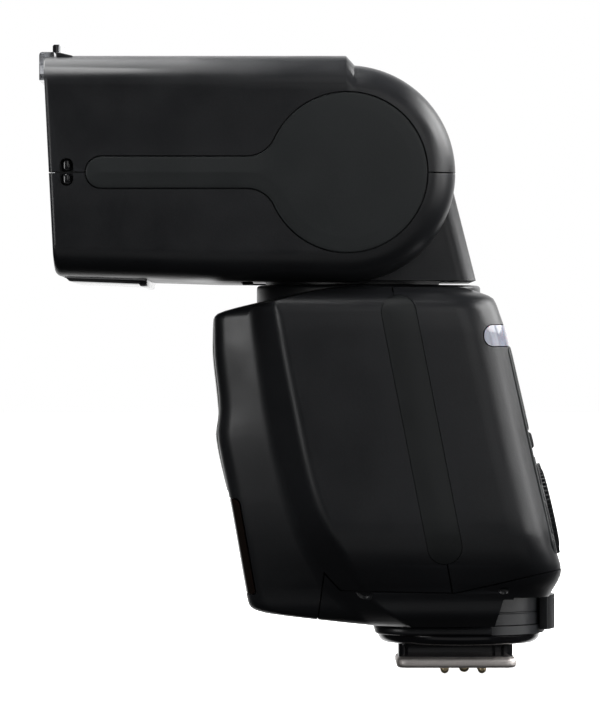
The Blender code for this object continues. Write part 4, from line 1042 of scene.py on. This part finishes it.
def build_head_covers():
    """Upper and lower shells that meet on a line at the tilt axis."""
    for name, low, high in (("upper_cover", PIVOT[1] + 0.12, 130.0), ("lower_cover", 50.0, PIVOT[1] - 0.12)):
        cover = keep(head_solid(name), box("head_part", (-60.0, -100.0, low), (60.0, 20.0, high)))
        tools = [box("head_hollow", (-31.8, -73.3, 74.4), (31.8, -40.4, 107.6)),
                 box("lens_opening", (-29.5, -90.0, 76.1), (29.5, -70.0, 106.9)),
                 turret_slot(), rod("axle_holes", (0.0, *PIVOT), 3.3, "X", 70.0, 48),
                 rod("button_hole", (-40.0, *PIVOT), 8.6, "X", 20.0, 72), *cheek_tools()]
        if name == "upper_cover":
            tools.append(box("panel_pocket", (-30.4, -90.0, 107.0), (30.4, -30.0, 110.9)))
            tools.append(box("lip_path", (-30.4, -90.0, 106.9), (30.4, -73.4, 125.0)))
            hood = [(-73.3, 111.0), (-73.3, 112.7), (-73.1, 112.95), (-70.3, 112.3), (-70.3, 111.0)]
            join(cover, bevel(prism("hood", hood, "X", -30.5, 30.5), 0.15, 2, 30.0))
        cut(cover, *tools)
        dress(cover, SATIN, "head", f"head_{name}")


def button_hole():
    """Room for the bounce button, through whatever lies behind the left disc."""
    return rod("button_hole", (-35.0, *PIVOT), 8.6, "X", 4.0, 72)


def build_head_seam():
    """Tongues behind the line between the covers, and the round catches in their slots."""
    for side, tag in ((-1, "left"), (1, "right")):
        inner, outer = mirrored(side, 33.3, 34.1)
        tongue = bevel(box(f"seam_tongue_{tag}", (inner, -73.0, 90.0), (outer, -5.5, 92.0)), 0.1, 1)
        if side < 0:
            cut(tongue, button_hole())
        dress(tongue, SATIN_INSIDE, "head")
        for part, low, high in (("low", 88.75, 90.8), ("high", 91.2, 93.35)):
            middle = (side * 33.95, CATCH_Y, (low + high) / 2)
            hook = rod(f"cover_catch_{tag}_{part}", middle, 0.95, "Z", high - low, 40)
            dress(bevel(hook, 0.45, 4), GLOSS, "head")


def build_head_trims():
    """Keyhole inlays: a crease along the arm that runs out into a very shallow cone on the disc."""
    edge = [(-0.02, 34.5), (-0.02, 34.95), (-0.06, 35.06), (-0.14, 35.13), (-0.25, 35.16)]
    slope = [(0.03 - ARM_HALF * k / 8, 35.16 + CREASE * k / 8) for k in range(2, 9)]
    for side, tag in ((-1, "left"), (1, "right")):
        rings = [[(side * x, y, z) for y, z in keyhole(grow)] for grow, x in edge + slope]
        trim = skin(f"side_trim_{tag}", rings)
        if side < 0:
            cut(trim, button_hole())
        dress(trim, TRIM, "head", f"head_side_trim_{tag}", angle=40.0)


def build_under_rail():
    """The dark guide rail under the head's chin, with a bright strip along its root."""
    rail = rounded([(-72.4, 72.7), (-71.1, 71.5), (-58.4, 71.0), (-58.2, 70.6), (-57.1, 70.6), (-56.9, 72.2)],
                   [0.1, 0.3, 0.15, 0.1, 0.25, 0.1], 4)
    dress(bevel(prism("chin_rail", rail, "X", -26.0, 26.0), 0.12, 2, 40.0), GLOSS, "head")
    strip = [(-72.0, 72.75), (-72.0, 72.1), (-57.2, 71.65), (-57.2, 72.2)]
    dress(bevel(prism("chin_strip", strip, "X", -26.2, 26.2), 0.08, 2, 40.0), STEEL, "head")


def build_bounce_button():
    """A dished push button with five grip ribs, on the left end of the tilt axis."""
    button = bevel(rod("bounce_button", (-35.3, *PIVOT), 8.2, "X", 2.0, 96), 0.5, 4)
    cut(button, rod("button_dish", (-36.3, *PIVOT), 6.6, "X", 0.9, 96))
    dress(button, TRIM, "bounce_lock_button", "bounce_lock_button")
    y, z = PIVOT
    for i in range(5):
        level = z - 3.2 + 1.6 * i
        rib = box(f"button_rib_{i + 1}", (-36.25, y - 3.6, level - 0.3), (-35.6, y + 3.6, level + 0.3))
        dress(bevel(rib, 0.2, 2), TRIM, "bounce_lock_button")


def build_lens():
    """Front window whose inner face carries the horizontal prism ribs of a flash lens."""
    low, high = 76.4, 106.6
    outline = [(HEAD_FRONT(z) + depth, z) for z, depth in ((low, 0.3), (high, 0.3), (high, 1.4), (low, 1.4))]
    plate = prism("front_window", outline, "X", -29.2, 29.2)
    count = 17
    pitch = 26.8 / count
    ribs = []
    for i in range(count):
        z = 78.1 + pitch * i
        for share, depth in ((0.0, 0.65), (0.5, 0.95), (0.999, 0.65)):
            ribs.append((HEAD_FRONT(z) + depth, z + pitch * share))
    recess = [(-90.0, ribs[0][1]), *ribs, (-90.0, ribs[-1][1])]
    cut(plate, prism("lens_recess", recess, "X", -27.7, 27.7))
    dress(plate, CLEAR, "head", "front_lens", angle=20.0)


def build_wide_panel():
    """Clear pull-out diffuser, grooved underneath, with a tinted finger lip."""
    sheet = [(-36.0, 107.9), (-75.3, 107.9), (-75.3, 108.9), (-36.0, 108.9)]
    hook = [(-75.35, 107.9), (-76.4, 107.9), (-76.4, 112.5), (-76.25, 112.85), (-75.9, 113.0), (-73.7, 113.0),
            (-73.7, 112.1), (-75.35, 112.1)]
    panel = prism("wide_diffuser", sheet, "X", -29.8, 29.8)
    lip = prism("diffuser_lip", hook, "X", -29.8, 29.8)
    grooves = []
    for i in range(15):
        back = -40.0 - 2.0 * i
        front = back - 1.98
        groove = [(back, 107.0), (back, 107.95), (back - 1.0, 108.2), (front, 107.95), (front, 107.0)]
        grooves.append(prism("diffuser_groove", groove, "X", -27.0, 27.0))
    cut(panel, *grooves)
    cut(lip, box("lip_notch", (-5.4, -90.0, 109.2), (5.4, -70.0, 120.0)),
        box("card_slot", (-27.0, -90.0, 109.1), (27.0, -74.0, 110.7)))
    dress(panel, FROSTED, "wide_panel", "wide_panel", angle=25.0)
    dress(lip, LIP, "wide_panel", angle=25.0)


def build_catchlight_card():
    """The white card that slides over the diffuser, its dark pull tab and the tab's clear hook."""
    card = bevel(box("catchlight_card", (-26.6, -73.6, 109.4), (26.6, -38.0, 110.4)), 0.2, 2)
    dress(card, WHITE, "catchlight_panel", "catchlight_panel")
    corners = [(-73.4, 109.5), (-73.4, 110.3), (-74.1, 110.6), (-74.1, 115.9), (-75.2, 115.9),
               (-75.2, 110.3), (-74.6, 109.5)]
    tab = rounded(corners, [0.1, 0.1, 0.2, 0.1, 0.4, 0.4, 0.2], 5)
    dress(bevel(prism("card_tab", tab, "X", -4.8, 4.8), 0.15, 2, 60.0), GLOSS, "catchlight_panel")
    hook = [(-74.2, 115.9), (-73.6, 115.9), (-73.25, 115.6), (-73.25, 113.2), (-73.45, 113.2),
            (-73.45, 115.5), (-73.7, 115.7), (-74.2, 115.7)]
    dress(prism("card_tab_hook", hook, "X", -4.6, 4.6), CLEAR, "catchlight_panel")


def build_reflector():
    """The flash tube's polished bowl, which narrows towards the back."""
    middle = PIVOT[1]
    outside, inside = [], []
    for k in range(13):
        share = k / 12
        y = -70.5 + 11.6 * share
        half_z, half_x = 12.8 * math.sqrt(1.0 - 0.82 * share), 25.5 - 1.5 * share
        outside.append([(x, y, middle + z) for x, z in slab(half_x, -half_z, half_z, 2.0, 5)])
        inside.append([(x * 0.975, y + 0.25 * share, middle + z * 0.94)
                       for x, z in slab(half_x, -half_z, half_z, 1.9, 5)])
    bowl = skin("flash_bowl", [*outside, *inside[11::-1]])
    dress(bowl, MIRROR, "zoom_carriage", "reflector", angle=50.0)


def build_tube():
    """The glass tube across the bowl, with a steel cap on each end."""
    y, z = -64.6, PIVOT[1]
    tube = rod("xenon_tube", (0.0, y, z), 1.9, "X", 44.0, 48)
    dress(bevel(tube, 0.5, 4), TUBE, "zoom_carriage", "flash_tube")
    profile = [(0.0, -1.6), (1.1, -1.6), (1.5, -1.3), (1.5, 1.3), (1.1, 1.6), (0.0, 1.6)]
    for side, tag in ((-1, "left"), (1, "right")):
        cap = turned(f"tube_cap_{tag}", profile, sides=32)
        spot = Matrix.Translation(Vector((side * 19.8, y, z)) * MM)
        cap.data.transform(spot @ Matrix.Rotation(math.pi / 2, 4, "Y"))
        dress(cap, STEEL, "zoom_carriage")


# ---------------------------------------------------------------- foot

CONTACTS = {"centre": (0.0, 1.6), "front_left": (-3.9, -2.15), "front_right": (3.9, -2.15),
            "rear_left": (-3.9, 4.8), "rear_right": (3.9, 4.8)}
LOCK_PIN = (0.0, -7.6)


def pin_holes(low, high):
    """Cutters for the five contacts and the locking pin between two heights."""
    middle, length = (low + high) / 2, high - low
    tools = [rod("pin_hole", (x, y, middle), 1.15, "Z", length, 40) for x, y in CONTACTS.values()]
    return tools + [rod("lock_hole", (*LOCK_PIN, middle), 1.3, "Z", length, 40)]


def build_shoe_plate():
    """The metal plate that slides into the shoe."""
    (left, front, _), (right, back, _) = span("foot_plate")
    outline = rounded([(left, front), (right, front), (right, back), (left, back)], 2.2, 10)
    plate = bevel(prism("shoe_plate", outline, "Z", 0.0, 1.9), 0.7, 5, 60.0)
    cut(plate, *pin_holes(-1.0, 3.0))
    dress(plate, FOOT_PLATED, "body", "foot_plate")


def build_foot_collar():
    """The glossy round collar with its ribbed block, in one piece."""
    profile = [(9.5, 4.5), (13.9, 4.5), (14.4, 4.75), (14.85, 5.2), (15.1, 5.7), (15.1, 6.1), (15.0, 6.25),
               (14.8, 6.35), (9.5, 6.35)]
    collar = turned("foot_ring", profile, (0.0, RING_Y), 144)
    block = bevel(prism("shoe_block", slab(6.2, -10.8, 10.5, 1.5, 10), "Z", 1.92, 5.4), 0.12, 2, 60.0)
    grooves = []
    for y in (-9.3, 6.9, 8.5):
        for side in (-1, 1):
            low_x, high_x = mirrored(side, 5.9, 7.0)
            grooves.append(box("rib_gap", (low_x, y - 0.28, 1.5), (high_x, y + 0.28, 4.7)))
    lid = rod("ring_lid", (0.0, RING_Y, 5.4), 9.7, "Z", 1.1, 96)
    cut(block, *grooves)
    cut(join(collar, lid, block), *pin_holes(1.0, 7.0))
    dress(collar, GLOSS, "body", "foot_collar")


def build_stepped_base():
    """The square base with round corners between the collar and the lock drum."""
    outline = rounded([(-15.6, -15.3), (15.6, -15.3), (15.6, 16.6), (-15.6, 16.6)], 7.5, 16)
    base = bevel(prism("stepped_base", outline, "Z", 6.4, 8.0), 0.6, 4, 60.0)
    cut(base, lever_path(), *pin_holes(6.0, 9.0))
    dress(base, SATIN, "body", "foot_base")


def build_lock_drum():
    """The drum round the lock ring, with a fine groove half way up."""
    profile = [(11.4, 8.05), (15.85, 8.05), (16.0, 8.2), (16.0, 10.2), (15.85, 10.35), (15.85, 10.5),
               (16.0, 10.65), (16.0, 13.6), (15.7, 13.9), (11.4, 13.9)]
    dress(turned("lock_housing", profile, (0.0, RING_Y), 144), SATIN, "body")


def build_contacts():
    """Sprung pins with round tips, the middle one a little larger, and the locking pin."""
    top, tip = 7.9, -1.3
    for place_name, spot in CONTACTS.items():
        r = 0.95 if place_name == "centre" else 0.8
        turns = [math.radians(a) for a in range(0, 85, 12)]
        dome = [(r * math.cos(a), tip + 0.8 - 0.8 * math.sin(a)) for a in turns]
        name = f"contact_pin_{place_name}"
        pin = turned(f"{name}_tip", [(0.0, top), (r, top), *dome, (0.0, tip)], spot, 40)
        dress(pin, GOLD, name, name)
    profile = [(0.0, top), (1.0, top), (1.0, 0.7), (0.9, 0.5), (0.7, 0.4), (0.0, 0.4)]
    dress(turned("lock_pin_body", profile, LOCK_PIN, 40), STEEL, "lock_pin", "lock_pin")


def build_lock_lever():
    """Ring under the base with a thumb tab whose outer face is finely ribbed."""
    centre = (0.0, RING_Y)
    ring = prism("lever_ring", circle(centre, 15.3, 120), "Z", 8.3, 9.3, holes=[circle(centre, 11.0, 96)])
    arm = box("lever_arm", (-3.5, 14.5, 8.3), (3.5, 18.0, 9.3))
    ribs = 24
    outer = []
    for i in range(ribs):
        for share, radius in ((0.0, 17.65), (0.3, 17.98), (0.55, 17.98), (0.85, 17.65)):
            angle = math.radians(64.0 + 52.0 * (i + share) / ribs)
            outer.append((radius * math.cos(angle), RING_Y + radius * math.sin(angle)))
    join(ring, arm, prism("lever_tab", outer + arc(centre, 16.5, 116, 64, 24), "Z", 7.1, 13.4))
    dress(ring, SATIN, "lock_lever", "lock_lever")


# ---------------------------------------------------------------- carried-over nodes

KEPT = {
    PRINT_GREEN: ("lcd_module",),
    CELL: [f"battery_cell_{i}" for i in range(1, 5)],
    GOLD: ("cell_contact_strip",),
    CAPACITOR: ("main_capacitor",),
    BOARD: ("main_board",),
    SATIN_INSIDE: ("zoom_carriage",),
    STEEL: ("swivel_tube", "swivel_nut", "tilt_detent_plate", "tilt_axle", "zoom_lead_screw",
            "zoom_guide_rod", "zoom_motor", "battery_door_hinge_pin"),
}


def finish_kept_nodes():
    """Inner machine parts keep their CAD shape and get real finishes and soft edges."""
    for material, names in KEPT.items():
        for name in names:
            node = bpy.data.objects[name]
            node.data.materials.clear()
            node.data.materials.append(material)
            edges = node.modifiers.new("edges", "BEVEL")
            edges.width = 0.12 * MM
            edges.segments = 2
            edges.limit_method = "ANGLE"
            edges.angle_limit = math.radians(40)


# ---------------------------------------------------------------- studio

STUDIO_CENTRE, STUDIO_REACH = Vector((0.0, -0.03, 0.065)), 1.3       # metres
# Name, azimuth and elevation seen from the flash (0 is +X, 90 is +Y), width and height in degrees, and
# brightness.
SOFTBOXES = (
    ("rear_box", 90, 28, 22, 28, 8.0),
    ("rear_corner_box", 122, 26, 30, 28, 6.0),
    ("rear_low_box", 90, 4, 22, 18, 3.1),
    ("rear_side_box", 64, 5, 24, 20, 3.0),
    ("overhead_box", 268, 70, 60, 30, 7.6),
    ("far_high_box", 228, 48, 50, 30, 7.2),
    ("near_front_box", 310, 3, 18, 20, 5.4),
    ("near_fill", 20, 18, 30, 36, 0.95),
    ("low_fill", 0, -32, 80, 34, 0.19),
)


def soft_light(name, azimuth, elevation, wide, high, brightness):
    """A rectangular softbox that faces the flash and looks as wide, high and bright as asked."""
    turn, lift = math.radians(azimuth), math.radians(elevation)
    away = Vector((math.cos(turn) * math.cos(lift), math.sin(turn) * math.cos(lift), math.sin(lift)))
    lamp = bpy.data.lights.new(name, "AREA")
    lamp.shape = "RECTANGLE"
    lamp.size = 2 * STUDIO_REACH * math.tan(math.radians(wide / 2))
    lamp.size_y = 2 * STUDIO_REACH * math.tan(math.radians(high / 2))
    lamp.energy = math.pi * lamp.size * lamp.size_y * brightness
    item = bpy.data.objects.new(name, lamp)
    bpy.context.scene.collection.objects.link(item)
    item.location = STUDIO_CENTRE + away * STUDIO_REACH
    item.rotation_euler = (-away).to_track_quat("-Z", "Y").to_euler()
    item.visible_camera = False


ROOM_HEIGHT = (0.01, 0.03, -0.15, 0.30)        # levels below and above, and where the ramp lies
ROOM_BEHIND = (1.6, 0.0, -0.92, -0.70)         # brightness straight behind, fading towards the sides


def build_world():
    """A white backdrop in a dim room: dark below, grey above, bright behind the flash."""
    world = bpy.data.worlds.new("studio_world")
    world.use_nodes = True
    tree = world.node_tree
    backdrop = tree.nodes["Background"]
    backdrop.inputs["Color"].default_value = (1.0, 1.0, 1.0, 1.0)
    around = tree.nodes.new("ShaderNodeSeparateXYZ")
    tree.links.new(tree.nodes.new("ShaderNodeTexCoord").outputs["Generated"], around.inputs["Vector"])
    total = tree.nodes.new("ShaderNodeMath")
    tree.links.new(ramp(tree, around.outputs["Z"], *ROOM_HEIGHT, smooth=True), total.inputs[0])
    tree.links.new(ramp(tree, around.outputs["X"], *ROOM_BEHIND, smooth=True), total.inputs[1])
    room = tree.nodes.new("ShaderNodeBackground")
    tree.links.new(total.outputs["Value"], room.inputs["Strength"])
    seen = tree.nodes.new("ShaderNodeMixShader")
    tree.links.new(tree.nodes.new("ShaderNodeLightPath").outputs["Is Camera Ray"], seen.inputs["Fac"])
    tree.links.new(room.outputs["Background"], seen.inputs[1])
    tree.links.new(backdrop.outputs["Background"], seen.inputs[2])
    tree.links.new(seen.outputs["Shader"], tree.nodes["World Output"].inputs["Surface"])
    bpy.context.scene.world = world


def build_studio():
    """A white floor at the contact tips that lights nothing, and the softboxes."""
    floor_z, reach = -1.32, 4000.0
    shape = bmesh.new()
    bmesh.ops.create_circle(shape, cap_ends=True, segments=96, radius=reach)
    bmesh.ops.translate(shape, vec=(0.0, 0.0, floor_z), verts=shape.verts)
    floor = place("studio_floor", shape)
    paper = Graph("studio_paper")
    pale, white = (0.93, 0.93, 0.93), (0.96, 0.96, 0.96)
    paper.link(paper.blend(paper.spread(paper.noise(300.0, 3.0), 0.0, 1.0), pale, white), "Base Color")
    paper.set(Roughness=0.9, Specular_IOR_Level=0.1)
    paper.set(Emission_Color=(1.0, 1.0, 1.0, 1.0), Emission_Strength=1.0)
    floor.data.materials.append(paper.material)
    floor.visible_diffuse = False
    floor.visible_glossy = False
    floor.visible_transmission = False
    for box_of_light in SOFTBOXES:
        soft_light(*box_of_light)


def build_camera():
    """A long lens square on to the side, at half the height of the flash."""
    away, view_height = 930.0, 132.2             # distance, and what the picture's longer side takes in
    lens = bpy.data.cameras.new("side_camera")
    lens.sensor_width = 36.0
    lens.lens = lens.sensor_width * away / view_height
    lens.clip_start = 0.01
    lens.clip_end = 50.0
    item = bpy.data.objects.new("side_camera", lens)
    bpy.context.scene.collection.objects.link(item)
    item.location = Vector((away, -29.12, 58.43)) * MM
    item.rotation_euler = (math.radians(90.0), 0.0, math.radians(90.0))
    bpy.context.scene.camera = item


build_front_shell()
build_rear_shell()
build_shell_laps()
build_stripe()
build_base_cover()
build_hinge_knuckles()
build_assist_lens()
build_sensor_strip()
build_link_lamp()
build_battery_door()
build_door_catch()
build_back_panel()
build_display()
build_keys()
build_dial()
build_set_key()
build_power_switch()
build_swivel()
build_turret_skirt()
build_turret()
build_head_covers()
build_head_seam()
build_head_trims()
build_under_rail()
build_bounce_button()
build_lens()
build_wide_panel()
build_catchlight_card()
build_reflector()
build_tube()
build_shoe_plate()
build_foot_collar()
build_stepped_base()
build_lock_drum()
build_contacts()
build_lock_lever()
finish_kept_nodes()
build_world()
build_studio()
build_camera()
bpy.context.scene.view_settings.view_transform = "Standard"
